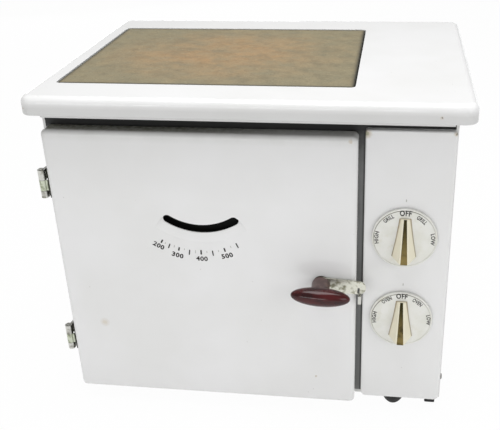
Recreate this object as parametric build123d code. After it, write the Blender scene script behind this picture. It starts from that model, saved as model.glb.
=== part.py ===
from build123d import *

import os
from math import cos, radians, sin

# Table cooker, in millimetres. +X is the right-hand side, +Y the back, +Z up.
# The origin is on the floor, under the middle of the whole object with its handle.

# Hob top: one enamelled steel pressing
hob_width = 475.0
hob_depth = 365.0
hob_rim = 20.7
hob_bead = 2.1
hob_bead_depth = 3.2
hob_bead_inset = 22.5
hob_bead_round = 1.0
hob_sheet = 1.2
hob_corner = 13.0
hob_edge = 8.0
hob_foot_edge = 2.0
hob_lip = 6.0

# Casing
casing_height = 378.8
casing_left_step = 3.0
casing_right_step = 8.5
casing_back_step = 3.5
casing_sheet = 1.2
side_flange = 4.5
side_return = 1.6
flange_gap = 3.7
seam_gap = 0.5
frame_flange = 12.0
frame_setback = 30.0
frame_corner = 10.0

# Boiling plate and the rebate that carries it
plate_gap = 1.5
plate_thickness = 9.5
plate_sink = 0.3
plate_corner = 4.0
plate_edge = 0.9
plate_front_gap = 8.1
plate_rear_gap = 29.1
plate_ledge = 6.0
rib_depth = 5.0
rib_width = 7.0
rib_margin = 16.0
rib_count = 5

# Oven door
door_inset = 4.3
door_rise = 0.4
door_drop = 39.0
door_thickness = 21.1
door_clearance = 1.4
door_sheet = 1.2
door_edge = 5.5
door_corner_step = 0.5
door_back_sheet = 1.0
door_back_inset = 1.0
door_back_corner = 6.0
door_pad_gap = 0.4
seal_thickness = 1.0
seal_width = 9.0
seal_margin = 12.0

# Control panel
panel_width = 93.6
panel_inset = 1.4
panel_gap = 6.9
panel_depth = 8.0
panel_rise = 1.1
panel_drop = 35.4
panel_sheet = 1.2
panel_edge = 2.0
panel_corner_step = 1.0
panel_foot_corner = 6.5

# Oven
partition_inset = 1.5
partition_gap = 3.1
partition_drop = 14.0
side_insulation = 23.0
right_insulation = 18.8
back_insulation = 25.0
base_insulation = 19.6
liner_sheet = 1.0
roof_drop = 43.0
roof_margin = 22.0
lintel_drop = 62.0

# Grill element, under the boiling plate
element_radius = 4.0
element_drop = 27.0
element_margin = 26.0
element_passes = 6
element_turn_inset = 30.0
element_tail = 10.0
bar_width = 12.0
bar_end_gap = 6.0
bar_shares = (0.2, 0.5, 0.8)
seat_gap = 0.1
bush_gap = 0.05
bush_wall = 3.5
bush_length = 9.0

# Side elements of the oven
side_rod_radius = 3.25
side_rod_gap = 3.0
side_rod_front_gap = 30.0
side_rod_back_gap = 34.0
side_rod_shares = (0.16, 0.58)
side_rod_passes = 4
side_rod_tail = 6.0

# Shelf racks and wire shelves
rack_wire = 2.0
rack_post = 2.5
rack_gap = 15.0
rack_end_gap = 18.0
rack_post_shares = (0.12, 0.88)
rack_level_shares = (0.16, 0.42, 0.68)
shelf_frame_wire = 2.5
shelf_side_wire = 2.2
shelf_wire = 1.5
shelf_wire_count = 13
shelf_end_gap = 10.0
shelf_levels = (0, 2)

# Thermometer: the slot, the dished pressing under it and the movement behind it
dial_across_share = 0.4963
dial_height_share = 0.8779
slot_radius = 70.1
slot_width = 10.6
slot_half_angle = 32.2
dish_width = 11.0
dish_depth = 2.8
dish_half_angle = 37.0
thermo_sheet = 0.8
thermo_side_margin = 6.0
thermo_top_margin = 17.0
thermo_foot_margin = 5.0
thermo_back_gap = 1.9
pointer_rest_angle = 47.5
pointer_length = 70.0
pointer_width = 3.6
pointer_sheet = 0.8
pointer_hub = 4.5
pointer_setback = 6.2
spindle_radius = 1.5
thermo_bush_radius = 4.0
thermo_bush_gap = 0.6
coil_inner = 3.0
coil_pitch = 2.2
coil_turns = 5
coil_strip = 0.6
coil_height = 3.4
coil_setback = 2.0
running_gap = 0.06

# Hinges
hinge_offset = 8.2
hinge_setback = 6.5
hinge_height_shares = (0.8086, 0.2049)
hinge_height = 33.5
hinge_barrel = 4.1
hinge_pin = 1.75
hinge_sheet = 1.5
hinge_knuckle_shares = (0.36, 0.38, 0.26)
hinge_knuckle_gap = 0.3
casing_leaf_length = 36.0
casing_leaf_start = 10.5
door_leaf_gap = 1.6
pin_head_radius = 2.6
pin_head = 1.0

# Handle and latch
latch_height_share = 0.4908
latch_tilt = 2.5
grip_standoff = 29.4
grip_length = 65.0
grip_girth = 21.0
grip_offset = 1.6
stem_radius = 9.2
stem_root_radius = 10.2
arm_sheet = 2.0
arm_gap = 2.5
arm_height = 18.0
arm_tip_height = 16.0
arm_reach = 50.0
arm_overrun = 11.4
arm_slot_width = 2.4
arm_slot_height = 7.0
arm_slot_inset = 8.0
latch_rod_radius = 4.0
latch_rod_tail = 13.0
latch_rod_setback = 2.5
latch_bush_radius = 6.5
latch_bush_flange = 9.0
latch_bush_length = 6.0
latch_nut_size = 11.0
latch_nut_height = 4.0
latch_nut_gap = 0.4

# Keeper under the tip of the latch arm
keeper_gap = 0.5
keeper_sheet = 3.5
keeper_lift = 0.6
keeper_notch = 3.2
keeper_body = 7.0
keeper_nose = 3.6
keeper_arm_gap = 0.5
keeper_foot_width = 14.0
keeper_foot_height = 40.0
keeper_foot_sheet = 2.0
slot_clearance = 0.4

# Control knobs
knob_across_share = 0.4754
knob_height_shares = (0.6431, 0.3389)
knob_radius = 35.5
knob_gap = 1.2
knob_rim = 2.2
knob_rim_bevel = 0.6
knob_dome = 2.0
knob_wall = 2.4
knob_hub_radius = 11.0
knob_groove_inset = 1.6
knob_groove_width = 0.5
knob_groove_depth = 0.4
grip_tip = 25.0
grip_tail = 21.8
grip_tip_root_half = 7.0
grip_tip_ridge_half = 2.6
grip_tail_root_half = 14.0
grip_tail_ridge_half = 4.9
grip_tip_rise = 3.0
grip_tail_rise = 17.5
grip_edge = 0.8
strip_tip_half = 1.6
strip_tail_half = 3.7
strip_sheet = 1.0
strip_proud = 0.2
shaft_radius = 3.0
shaft_in_knob = 12.0

# Rotary switches
switch_width = 42.0
switch_depth = 32.0
switch_neck_radius = 5.0
switch_neck_gap = 0.8
switch_nut_size = 14.0
switch_nut_height = 2.6
panel_hole_gap = 2.0
shaft_in_switch = 20.0
tab_width = 6.0
tab_sheet = 1.0
tab_length = 8.0
tab_spread = 24.0

# Supply terminals
terminal_width = 54.0
terminal_depth = 20.0
terminal_height = 22.0
terminal_rise = 62.0
terminal_screw_radius = 3.0
terminal_screw_head = 2.0
terminal_screw_head_radius = 4.5
terminal_pitch = 16.0
supply_across_share = 0.5

# Cable gland, gland nut and earth stud on the back
gland_rise = 30.0
gland_bore = 6.5
gland_radius = 9.5
gland_flange_radius = 14.0
gland_flange = 3.0
gland_outer_length = 9.5
gland_inner_length = 9.0
gland_nut_length = 4.0
earth_offset = 30.0
earth_radius = 2.5
earth_nut_size = 9.0
earth_nut_height = 3.5
earth_length = 9.0

# Internal wiring
wire_radius = 1.75
wire_bend = 14.0
loom_pitch = 5.2
loom_turn_share = 0.7
loom_place_shares = ((-1.5, 1.5), (-0.5, 0.5))
element_wire_offsets = (26.0, 46.0)
element_wire_drop = 40.0

# Feet
foot_height = 19.5
foot_bulge_share = 0.72
foot_bulge_height_share = 0.34
corner_foot_size = 12.4
corner_foot_edge = 1.5
corner_foot_neck = 4.2
corner_foot_gap = 0.4
corner_foot_inset = 12.0
domed_foot_radius = 13.6
domed_foot_flat = 7.5
domed_foot_neck = 6.0
domed_foot_inset = 55.6
domed_foot_setback = 14.7
domed_foot_clearance = 1.2
stud_radius = 2.0
stud_length = 9.0
stud_nut_size = 7.0
stud_nut_height = 3.0

# Screws
screw_radius = 2.0
screw_head_radius = 3.8
screw_head = 2.2
screw_length = 7.0
side_screw_height_shares = (0.0583, 0.92)
side_screw_back_share = 0.93
side_screw_front = 11.0
back_screw_across_shares = (0.06, 0.5, 0.94)
back_screw_height_shares = (0.06, 0.9)
hinge_screw_radius = 1.5
hinge_screw_head_radius = 2.8
hinge_screw_head = 1.0
hinge_screw_length = 5.0
hinge_screw_spread_share = 0.28

# Levels and planes that follow from the sizes above
door_setback = frame_setback - door_clearance - door_thickness
handle_reach = grip_standoff + grip_girth / 2 - door_setback
hob_back = (hob_depth + handle_reach) / 2
hob_front = hob_back - hob_depth
hob_left = -hob_width / 2
hob_right = hob_width / 2
hob_top = foot_height + casing_height + hob_sheet
hob_under = hob_top - hob_sheet

casing_left = hob_left + hob_edge + casing_left_step
casing_right = hob_right - hob_edge - casing_right_step
casing_back = hob_back - hob_edge - casing_back_step
casing_bottom = foot_height
inner_left = casing_left + casing_sheet
inner_right = casing_right - casing_sheet
inner_back = casing_back - casing_sheet
base_under = casing_bottom + casing_sheet
floor_top = base_under + casing_sheet
frame_front = hob_front + frame_setback
frame_back = frame_front + casing_sheet

panel_right = casing_right - panel_inset
panel_left = panel_right - panel_width
panel_front = frame_front - panel_depth
panel_bottom = casing_bottom + panel_rise
panel_top = hob_top - panel_drop
panel_corner = panel_edge + panel_corner_step

door_left = casing_left + door_inset
door_right = panel_left - panel_gap
door_bottom = casing_bottom + door_rise
door_top = hob_top - door_drop
door_back = frame_front - door_clearance
door_front = door_back - door_thickness
door_width = door_right - door_left
door_height = door_top - door_bottom
door_corner = door_edge + door_corner_step
shell_back = door_back - door_back_sheet
shell_inside = door_front + door_sheet

partition_left = door_right - partition_inset
partition_right = partition_left + casing_sheet
partition_top = hob_top - partition_drop

plate_left = inner_left + side_flange + flange_gap + hob_sheet + plate_gap
plate_right = partition_left - partition_gap - hob_sheet - plate_gap
plate_front = frame_back + frame_flange + plate_front_gap + hob_sheet + plate_gap
plate_rear = inner_back - frame_flange - plate_rear_gap - hob_sheet - plate_gap
plate_top = hob_top - plate_sink
plate_under = plate_top - plate_thickness

liner_left = inner_left + side_insulation
liner_right = partition_left - right_insulation
liner_back = inner_back - back_insulation
liner_floor = floor_top + base_insulation
liner_roof = hob_top - roof_drop
lintel = hob_top - lintel_drop
oven_left = liner_left + liner_sheet
oven_right = liner_right - liner_sheet
oven_back = liner_back - liner_sheet
oven_floor = liner_floor + liner_sheet
oven_ceiling = liner_roof - liner_sheet

element_z = hob_top - element_drop
element_first = plate_front + element_margin
element_last = plate_rear - element_margin
element_pitch = (element_last - element_first) / (element_passes - 1)
element_turn_left = liner_left + element_turn_inset
element_turn_right = liner_right - element_turn_inset
element_end = partition_right + element_tail

side_rod_front = frame_back + side_rod_front_gap
side_rod_back = oven_back - side_rod_back_gap
side_rod_levels = [liner_floor + share * (liner_roof - liner_floor) for share in side_rod_shares]
side_rod_pitch = (side_rod_levels[1] - side_rod_levels[0]) / (side_rod_passes - 1)
side_rod_end = liner_back + side_rod_tail

dial_x = door_left + dial_across_share * door_width
dial_z = door_bottom + dial_height_share * door_height
slot_inner = slot_radius - slot_width / 2
slot_outer = slot_radius + slot_width / 2
thermo_back = shell_back - thermo_back_gap
pointer_y = door_front + pointer_setback
pointer_back = pointer_y + pointer_sheet
coil_front = pointer_back + coil_setback
thermo_reach = pointer_length * sin(radians(pointer_rest_angle))
thermo_left = dial_x - thermo_reach - thermo_side_margin
thermo_right = dial_x + thermo_reach + thermo_side_margin
thermo_foot = dial_z - slot_outer - dish_width - thermo_foot_margin
thermo_top = dial_z + thermo_top_margin

latch_x = door_right + arm_overrun - arm_reach
latch_z = door_bottom + latch_height_share * door_height
grip_y = door_front - grip_standoff
arm_back = door_front - arm_gap
arm_front = arm_back - arm_sheet
latch_rod_back = shell_inside + latch_rod_tail
latch_rod_front = grip_y + latch_rod_setback
keeper_right = panel_left - keeper_gap
keeper_left = keeper_right - keeper_sheet

hinge_x = door_left - hinge_offset
hinge_y = door_front + hinge_setback
door_leaf_back = door_back - door_leaf_gap
hinge_levels = [door_bottom + share * door_height for share in hinge_height_shares]

knob_x = panel_left + knob_across_share * panel_width
knob_levels = [panel_bottom + share * (panel_top - panel_bottom) for share in knob_height_shares]
knob_back = panel_front - knob_gap
knob_face = knob_back - knob_rim - knob_rim_bevel - knob_dome
knob_rim_face = knob_back - knob_rim - knob_rim_bevel
switch_back = frame_back + switch_depth
switch_neck_front = panel_front + panel_sheet + switch_neck_gap
supply_x = partition_right + supply_across_share * (inner_right - partition_right)
terminal_front = inner_back - terminal_depth
terminal_z = casing_bottom + terminal_rise
gland_z = casing_bottom + gland_rise


def block(x0, x1, y0, y1, z0, z1):
    return Pos((x0 + x1) / 2, (y0 + y1) / 2, (z0 + z1) / 2) * Box(x1 - x0, y1 - y0, z1 - z0)


def rod_x(x0, x1, y, z, radius):
    return Pos((x0 + x1) / 2, y, z) * Rot(0, 90, 0) * Cylinder(radius, x1 - x0)


def rod_y(y0, y1, x, z, radius):
    return Pos(x, (y0 + y1) / 2, z) * Rot(90, 0, 0) * Cylinder(radius, y1 - y0)


def rod_z(z0, z1, x, y, radius):
    return Pos(x, y, (z0 + z1) / 2) * Cylinder(radius, z1 - z0)


def nut_y(y0, y1, x, z, size, hole):
    # a hexagonal nut across the flats, on an axis along Y
    across = Plane(origin=(x, y0, z), x_dir=(1, 0, 0), z_dir=(0, 1, 0))
    outline = across * RegularPolygon(size / 2, 6, major_radius=False)
    return extrude(outline, y1 - y0) - rod_y(y0, y1, x, z, hole)


def nut_z(z0, z1, x, y, size, hole):
    outline = Pos(x, y, z0) * RegularPolygon(size / 2, 6, major_radius=False)
    return extrude(outline, z1 - z0) - rod_z(z0, z1, x, y, hole)


def group(solids):
    return Compound(children=[solid for shape in solids for solid in shape.solids()])


def front_tray(x0, x1, z0, z1, front, back, corner, edge, foot_corner):
    # a block with rounded corners, the lower pair to their own radius, and a rounded front edge
    tray = block(x0, x1, front, back, z0, z1)
    tray = fillet(tray.edges().filter_by(Axis.Y).sort_by(Axis.Z)[:2], foot_corner)
    tray = fillet(tray.edges().filter_by(Axis.Y).sort_by(Axis.Z)[-2:], corner)
    return fillet(tray.faces().sort_by(Axis.Y)[0].edges(), edge)


def around_y(points, x, z):
    # a solid of revolution about an axis along Y; each point is (radius, y)
    outline = make_face(Polyline(*[(x + radius, y, z) for radius, y in points], close=True))
    return revolve(outline, Axis((x, 0, z), (0, 1, 0)))


def tube(path_edges, radius, normal):
    # a round tube along a planar or spatial path of tangent lines and arcs
    path = Wire(path_edges)
    section = Plane(origin=path @ 0, z_dir=normal) * Circle(radius)
    return sweep(section, path=path)


def serpentine(start, end, passes, pitch, near, far, place):
    # rod path of straight passes joined by half turns; it starts and ends at the same side
    edges = []
    half = pitch / 2
    for index in range(passes):
        level = start + index * pitch
        outward = index % 2 == 0
        first = end if index == 0 else (near if outward else far)
        last = end if index == passes - 1 else (far if outward else near)
        edges.append(Line(place(first, level), place(last, level)))
        if index < passes - 1:
            bulge = last - half if last == far else last + half
            turned = level + pitch
            edges.append(ThreePointArc(place(last, level), place(bulge, level + half), place(last, turned)))
    return edges


def hob_top_part():
    skin = block(hob_left, hob_right, hob_front, hob_back, hob_top - hob_rim, hob_top)
    skin = fillet(skin.edges().filter_by(Axis.Z), hob_corner)
    skin = fillet(skin.faces().sort_by(Axis.Z)[-1].edges(), hob_edge)
    skin = fillet(skin.faces().sort_by(Axis.Z)[0].edges(), hob_foot_edge)
    hollow = block(hob_left + hob_sheet, hob_right - hob_sheet, hob_front + hob_sheet, hob_back - hob_sheet,
                   hob_top - hob_rim + hob_sheet, hob_under)
    hollow = fillet(hollow.edges().filter_by(Axis.Z), hob_corner - hob_sheet)
    hollow = fillet(hollow.faces().sort_by(Axis.Z)[-1].edges(), hob_edge - hob_sheet)
    lip = hob_sheet + hob_lip
    mouth = block(hob_left + lip, hob_right - lip, hob_front + lip, hob_back - lip,
                  hob_top - hob_rim, hob_under)
    # a bead turned down under the front edge, stopping short of the corners
    bead_front = hob_front + hob_foot_edge
    bead = block(hob_left + hob_bead_inset, hob_right - hob_bead_inset, bead_front,
                 bead_front + hob_bead_depth, hob_top - hob_rim - hob_bead, hob_top - hob_rim + hob_sheet)
    pressing = skin - hollow - mouth + fillet(bead.faces().sort_by(Axis.Z)[0].edges(), hob_bead_round)
    edge = plate_gap + hob_sheet
    well = block(plate_left - edge, plate_right + edge, plate_front - edge, plate_rear + edge,
                 plate_under - hob_sheet, hob_top)
    well = fillet(well.edges().filter_by(Axis.Z), plate_corner + edge)
    cutout = block(plate_left - plate_gap, plate_right + plate_gap, plate_front - plate_gap,
                   plate_rear + plate_gap, plate_under, hob_top)
    cutout = fillet(cutout.edges().filter_by(Axis.Z), plate_corner + plate_gap)
    ledge = plate_ledge - plate_gap
    opening = block(plate_left + ledge, plate_right - ledge, plate_front + ledge, plate_rear - ledge,
                    plate_under - hob_sheet, plate_under)
    return pressing + well - cutout - opening


def boiling_plate_part():
    plate = block(plate_left, plate_right, plate_front, plate_rear, plate_under, plate_top)
    plate = fillet(plate.edges().filter_by(Axis.Z), plate_corner)
    plate = chamfer(plate.faces().sort_by(Axis.Z)[-1].edges(), plate_edge)
    rib_low = plate_under - rib_depth
    first = plate_left + rib_margin
    pitch = (plate_right - plate_left - 2 * rib_margin - rib_width) / (rib_count - 1)
    for index in range(rib_count):
        left = first + index * pitch
        plate += block(left, left + rib_width, plate_front + rib_margin, plate_rear - rib_margin,
                       rib_low, plate_under)
    for front in (plate_front + rib_margin, plate_rear - rib_margin - rib_width):
        plate += block(plate_left + rib_margin, plate_right - rib_margin, front, front + rib_width,
                       rib_low, plate_under)
    return plate


def side_panel_part(left_side):
    outer, inner = (casing_left, inner_left) if left_side else (casing_right, inner_right)
    inward = side_flange if left_side else -side_flange
    x0, x1 = sorted((outer, inner))
    f0, f1 = sorted((inner, inner + inward))
    panel = block(x0, x1, frame_front, casing_back, casing_bottom, hob_under)
    r0, r1 = sorted((inner, inner + (side_return if left_side else -side_return)))
    panel += block(r0, r1, frame_front, frame_back, casing_bottom, hob_under)
    top_front = frame_back + frame_flange + seam_gap
    top_back = inner_back - frame_flange - seam_gap
    panel += block(f0, f1, top_front, top_back, hob_under - casing_sheet, hob_under)
    panel += block(f0, f1, frame_back, inner_back, casing_bottom, base_under)
    for y, z in side_screw_places():
        panel -= rod_x(x0, x1, y, z, screw_radius)
    if left_side:
        for level in hinge_levels:
            for y, z in casing_leaf_screw_places(level):
                panel -= rod_x(x0, x1, y, z, hinge_screw_radius)
    return panel


def side_screw_places():
    span = hob_under - casing_bottom
    rows = [casing_bottom + share * span for share in side_screw_height_shares]
    columns = (frame_back + side_screw_front,
               frame_back + side_screw_back_share * (inner_back - frame_back))
    return [(y, z) for y in columns for z in rows]


def back_screw_places():
    xs = [inner_left + share * (inner_right - inner_left) for share in back_screw_across_shares]
    zs = [casing_bottom + share * (hob_under - casing_bottom) for share in back_screw_height_shares]
    return [(x, z) for x in xs for z in zs]


def back_panel_part():
    panel = block(inner_left, inner_right, inner_back, casing_back, casing_bottom, hob_under)
    panel += block(inner_left, inner_right, inner_back - frame_flange, inner_back,
                   hob_under - casing_sheet, hob_under)
    for x, z in back_screw_places():
        panel -= rod_y(inner_back, casing_back, x, z, screw_radius)
    panel -= rod_y(inner_back, casing_back, supply_x, gland_z, gland_radius)
    panel -= rod_y(inner_back, casing_back, supply_x - earth_offset, gland_z, earth_radius)
    return panel


def foot_places(inset, y_front, y_back):
    # centres of a front and a back pair of feet, the same distance in from either side
    return [(x, y) for x in (inner_left + inset, inner_right - inset) for y in (y_front, y_back)]


def corner_foot_places():
    inset = side_flange + corner_foot_gap + corner_foot_neck
    y_front = frame_back + corner_foot_inset + corner_foot_size / 2
    y_back = inner_back - corner_foot_inset - corner_foot_size / 2
    return foot_places(inset, y_front, y_back)


def domed_foot_places():
    y_front = frame_front + domed_foot_setback
    return [(x, y_front) for x in (casing_left + domed_foot_inset, casing_right - domed_foot_inset)]


def base_panel_part():
    panel = block(inner_left, inner_right, frame_back, inner_back, base_under, floor_top)
    for x, y in corner_foot_places() + domed_foot_places():
        panel -= rod_z(base_under, floor_top, x, y, stud_radius)
    return panel


def front_frame_part():
    frame = block(inner_left + side_return, inner_right - side_return, frame_front, frame_back,
                  casing_bottom, hob_under)
    frame += block(inner_left, inner_right, frame_back, frame_back + frame_flange,
                   hob_under - casing_sheet, hob_under)
    mouth = block(oven_left, oven_right, frame_front, frame_back, oven_floor, lintel)
    frame -= fillet(mouth.edges().filter_by(Axis.Y), frame_corner)
    for level in knob_levels:
        frame -= rod_y(frame_front, frame_back, knob_x, level, switch_neck_radius)
    x0, x1, z0, z1 = keeper_slot_limits()
    return frame - block(x0, x1, frame_front, frame_back, z0, z1)


def partition_part():
    wall = block(partition_left, partition_right, frame_back, inner_back, floor_top, partition_top)
    for y in (element_first, element_last):
        wall -= rod_x(partition_left, partition_right, y, element_z, element_radius + bush_gap + bush_wall)
    return wall


def oven_liner_part():
    liner = block(liner_left, liner_right, frame_back, liner_back, liner_floor, liner_roof)
    liner -= block(oven_left, oven_right, frame_back, oven_back, oven_floor, oven_ceiling)
    liner -= block(liner_left + roof_margin, liner_right - roof_margin, frame_back + roof_margin,
                   liner_back - roof_margin, oven_ceiling, liner_roof)
    for x, z in side_rod_end_places():
        liner -= rod_y(oven_back, liner_back, x, z, side_rod_radius + bush_gap + bush_wall)
    return liner


def oven_insulation_part():
    left = block(inner_left, liner_left, frame_back, inner_back, floor_top, liner_roof)
    right = block(liner_right, partition_left, frame_back, inner_back, floor_top, liner_roof)
    base = block(liner_left, liner_right, frame_back, liner_back, floor_top, liner_floor)
    back = block(liner_left, liner_right, liner_back, inner_back, floor_top, liner_roof)
    for x, z in side_rod_end_places():
        back -= rod_y(liner_back, liner_back + bush_length, x, z, side_rod_radius + bush_gap + bush_wall)
    pockets = [rod_x(inner_left, inner_left + screw_length, y, z, screw_head_radius)
               for y, z in side_screw_places()]
    pockets += [rod_x(inner_left, inner_left + hinge_screw_length, y, z, hinge_screw_head_radius)
                for level in hinge_levels for y, z in casing_leaf_screw_places(level)]
    pockets += [rod_y(casing_back - screw_length, inner_back, x, z, screw_head_radius)
                for x, z in back_screw_places()]
    pockets += [rod_z(floor_top, base_under + stud_length, x, y, (stud_nut_size + stud_radius) / 2)
                for x, y in corner_foot_places() + domed_foot_places()]
    return group([pad - pockets for pad in (left, right, base, back)])


def grill_element_part():
    def place(across, along):
        return (across, along, element_z)

    path = serpentine(element_first, element_end, element_passes, element_pitch, element_turn_right,
                      element_turn_left, place)
    return tube(path, element_radius, (-1, 0, 0))


def element_bars_part():
    top = element_z - element_radius - seat_gap
    bars = []
    for share in bar_shares:
        x = liner_left + share * (liner_right - liner_left)
        bars.append(block(x - bar_width / 2, x + bar_width / 2, frame_back + bar_end_gap,
                          liner_back - bar_end_gap, liner_roof, top))
    return group(bars)


def grill_bushes_part():
    bushes = []
    for y in (element_first, element_last):
        x1 = partition_right + bush_length / 2
        x0 = partition_left - bush_length / 2
        outer = rod_x(x0, x1, y, element_z, element_radius + bush_gap + bush_wall)
        bushes.append(outer - rod_x(x0, x1, y, element_z, element_radius + bush_gap))
    return group(bushes)


def side_rod_xs():
    inset = side_rod_gap + side_rod_radius
    return (oven_left + inset, oven_right - inset)


def side_rod_end_places():
    return [(x, z) for x in side_rod_xs() for z in side_rod_levels]


def side_elements_part():
    rods = []
    for x in side_rod_xs():
        def place(along, level):
            return (x, along, level)

        path = serpentine(side_rod_levels[0], side_rod_end, side_rod_passes, side_rod_pitch, side_rod_back,
                          side_rod_front, place)
        rods.append(tube(path, side_rod_radius, (0, -1, 0)))
    return group(rods)


def element_bushes_part():
    bushes = []
    for x, z in side_rod_end_places():
        outer = rod_y(oven_back, liner_back + bush_length, x, z, side_rod_radius + bush_gap + bush_wall)
        bushes.append(outer - rod_y(oven_back, liner_back + bush_length, x, z, side_rod_radius + bush_gap))
    return group(bushes)


def rack_x(left_side):
    return oven_left + rack_gap if left_side else oven_right - rack_gap


def rack_levels():
    return [oven_floor + share * (lintel - oven_floor) for share in rack_level_shares]


def shelf_rack_part(left_side):
    x = rack_x(left_side)
    y0 = frame_back + rack_end_gap
    y1 = oven_back
    top = rack_levels()[-1] + rack_end_gap
    posts = [y0 + share * (y1 - y0) for share in rack_post_shares]
    rack = rod_z(oven_floor, top, x, posts[0], rack_post) + rod_z(oven_floor, top, x, posts[1], rack_post)
    for level in rack_levels():
        rack += rod_y(y0, y1, x, level, rack_wire)
    return rack


def wire_shelf_part(level):
    z = rack_levels()[level] + rack_wire + shelf_frame_wire + seat_gap
    x0, x1 = rack_x(True), rack_x(False)
    inset = rack_post + shelf_frame_wire + seat_gap
    y0 = frame_back + rack_end_gap + shelf_end_gap
    y1 = oven_back - shelf_end_gap
    left, right = x0 + inset, x1 - inset
    shelf = rod_x(x0, x1, y0, z, shelf_frame_wire) + rod_x(x0, x1, y1, z, shelf_frame_wire)
    front, back = y0 - shelf_wire, y1 + shelf_wire
    shelf += rod_y(front, back, left, z, shelf_side_wire) + rod_y(front, back, right, z, shelf_side_wire)
    pitch = (right - left) / (shelf_wire_count + 1)
    for index in range(shelf_wire_count):
        shelf += rod_y(front, back, left + (index + 1) * pitch, z, shelf_wire)
    return shelf


def control_panel_part():
    skin = front_tray(panel_left, panel_right, panel_bottom, panel_top, panel_front, frame_front,
                      panel_corner, panel_edge, panel_foot_corner)
    hollow = front_tray(panel_left + panel_sheet, panel_right - panel_sheet, panel_bottom + panel_sheet,
                        panel_top - panel_sheet, panel_front + panel_sheet, frame_front,
                        panel_corner - panel_sheet, panel_edge - panel_sheet,
                        panel_foot_corner - panel_sheet)
    panel = skin - hollow
    for level in knob_levels:
        panel -= rod_y(panel_front, panel_front + panel_sheet, knob_x, level, shaft_radius + panel_hole_gap)
    return panel


def ring_sector(points, half_angle):
    # a ring section about the dial's axis, centred on straight down; each point is (radius, y)
    outline = make_face(Polyline(*[(dial_x, y, dial_z - radius) for radius, y in points], close=True))
    outline = outline.rotate(Axis((dial_x, 0, dial_z), (0, 1, 0)), -half_angle)
    return revolve(outline, Axis((dial_x, 0, dial_z), (0, 1, 0)), revolution_arc=2 * half_angle)


def dial_slot():
    slot = ring_sector([(slot_inner, door_front), (slot_outer, door_front),
                        (slot_outer, thermo_back), (slot_inner, thermo_back)], slot_half_angle)
    for side in (-1, 1):
        angle = radians(side * slot_half_angle)
        x = dial_x + slot_radius * sin(angle)
        z = dial_z - slot_radius * cos(angle)
        slot += rod_y(door_front, thermo_back, x, z, slot_width / 2)
    return slot


def door_shell_part():
    skin = front_tray(door_left, door_right, door_bottom, door_top, door_front, shell_back,
                      door_corner, door_edge, door_corner)
    hollow = front_tray(door_left + door_sheet, door_right - door_sheet, door_bottom + door_sheet,
                        door_top - door_sheet, shell_inside, shell_back, door_corner - door_sheet,
                        door_edge - door_sheet, door_corner - door_sheet)
    shell = skin - hollow
    rim = slot_outer + dish_width
    lip = slot_radius
    boss = ring_sector([(lip, shell_inside), (rim + door_sheet, shell_inside),
                        (lip, shell_inside + dish_depth)], dish_half_angle)
    dish = ring_sector([(lip, door_front), (rim, door_front), (lip, door_front + dish_depth)],
                       dish_half_angle)
    shell = shell + boss - dish - dial_slot()
    shell -= rod_y(door_front, shell_inside, latch_x, latch_z, latch_bush_radius)
    for level in hinge_levels:
        for y, z in door_leaf_screw_places(level):
            shell -= rod_x(door_left, door_left + door_sheet, y, z, hinge_screw_radius)
    return shell


def door_inner_panel_part():
    inset = door_back_inset
    plate = block(door_left + inset, door_right - inset, shell_back, door_back,
                  door_bottom + inset, door_top - inset)
    return fillet(plate.edges().filter_by(Axis.Y), door_back_corner)


def door_insulation_part():
    inset = door_sheet + door_pad_gap
    front = shell_inside + dish_depth + door_pad_gap
    pad = block(door_left + inset, door_right - inset, front, shell_back,
                door_bottom + inset, door_top - inset)
    pad = fillet(pad.edges().filter_by(Axis.Y), door_corner - door_sheet)
    pad -= block(thermo_left, thermo_right, shell_inside, shell_back, thermo_foot, thermo_top)
    pad -= rod_y(shell_inside, shell_back, latch_x, latch_z, latch_nut_size)
    for level in hinge_levels:
        low, high = level - hinge_height / 2, level + hinge_height / 2
        pad -= block(door_left, door_left + hinge_screw_length + door_sheet, shell_inside, shell_back,
                     low, high)
    return pad


def door_seal_part():
    x0, x1 = door_left + seal_margin, door_right - seal_margin
    z0, z1 = door_bottom + seal_margin, door_top - seal_margin
    outer = block(x0, x1, door_back, door_back + seal_thickness, z0, z1)
    outer = fillet(outer.edges().filter_by(Axis.Y), frame_corner)
    inner = block(x0 + seal_width, x1 - seal_width, door_back, door_back + seal_thickness,
                  z0 + seal_width, z1 - seal_width)
    return outer - fillet(inner.edges().filter_by(Axis.Y), frame_corner / 2)


def thermometer_housing_part():
    box = block(thermo_left, thermo_right, shell_inside, thermo_back, thermo_foot, thermo_top)
    box -= block(thermo_left + thermo_sheet, thermo_right - thermo_sheet, shell_inside,
                 thermo_back - thermo_sheet, thermo_foot + thermo_sheet, thermo_top - thermo_sheet)
    return box - rod_y(thermo_back - thermo_sheet, thermo_back, dial_x, dial_z, spindle_radius + running_gap)


def thermometer_bush_part():
    y0 = coil_front + coil_height + thermo_bush_gap
    y1 = thermo_back - thermo_sheet
    bush = rod_y(y0, y1, dial_x, dial_z, thermo_bush_radius)
    return bush - rod_y(y0, y1, dial_x, dial_z, spindle_radius + running_gap)


def bimetal_coil_part():
    # flat spiral of half turns round the spindle, its outer end folded back on to the housing
    half_pitch = coil_pitch / 2
    edges = []
    for index in range(2 * coil_turns):
        radius = coil_inner + index * half_pitch
        side = 1 if index % 2 == 0 else -1
        centre = 0 if index % 2 == 0 else half_pitch
        start, end = (centre + side * radius, 0), (centre - side * radius, 0)
        edges.append(ThreePointArc(start, (centre, side * radius), end))
    place = Plane(origin=(dial_x, coil_front, dial_z), x_dir=(1, 0, 0), z_dir=(0, 1, 0))
    coil = place * extrude(trace(edges, coil_strip), coil_height)
    reach = dial_x + coil_inner + coil_turns * coil_pitch
    return coil + block(reach - coil_strip / 2, reach + coil_strip / 2, coil_front,
                        thermo_back - thermo_sheet, dial_z - coil_height, dial_z)


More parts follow.
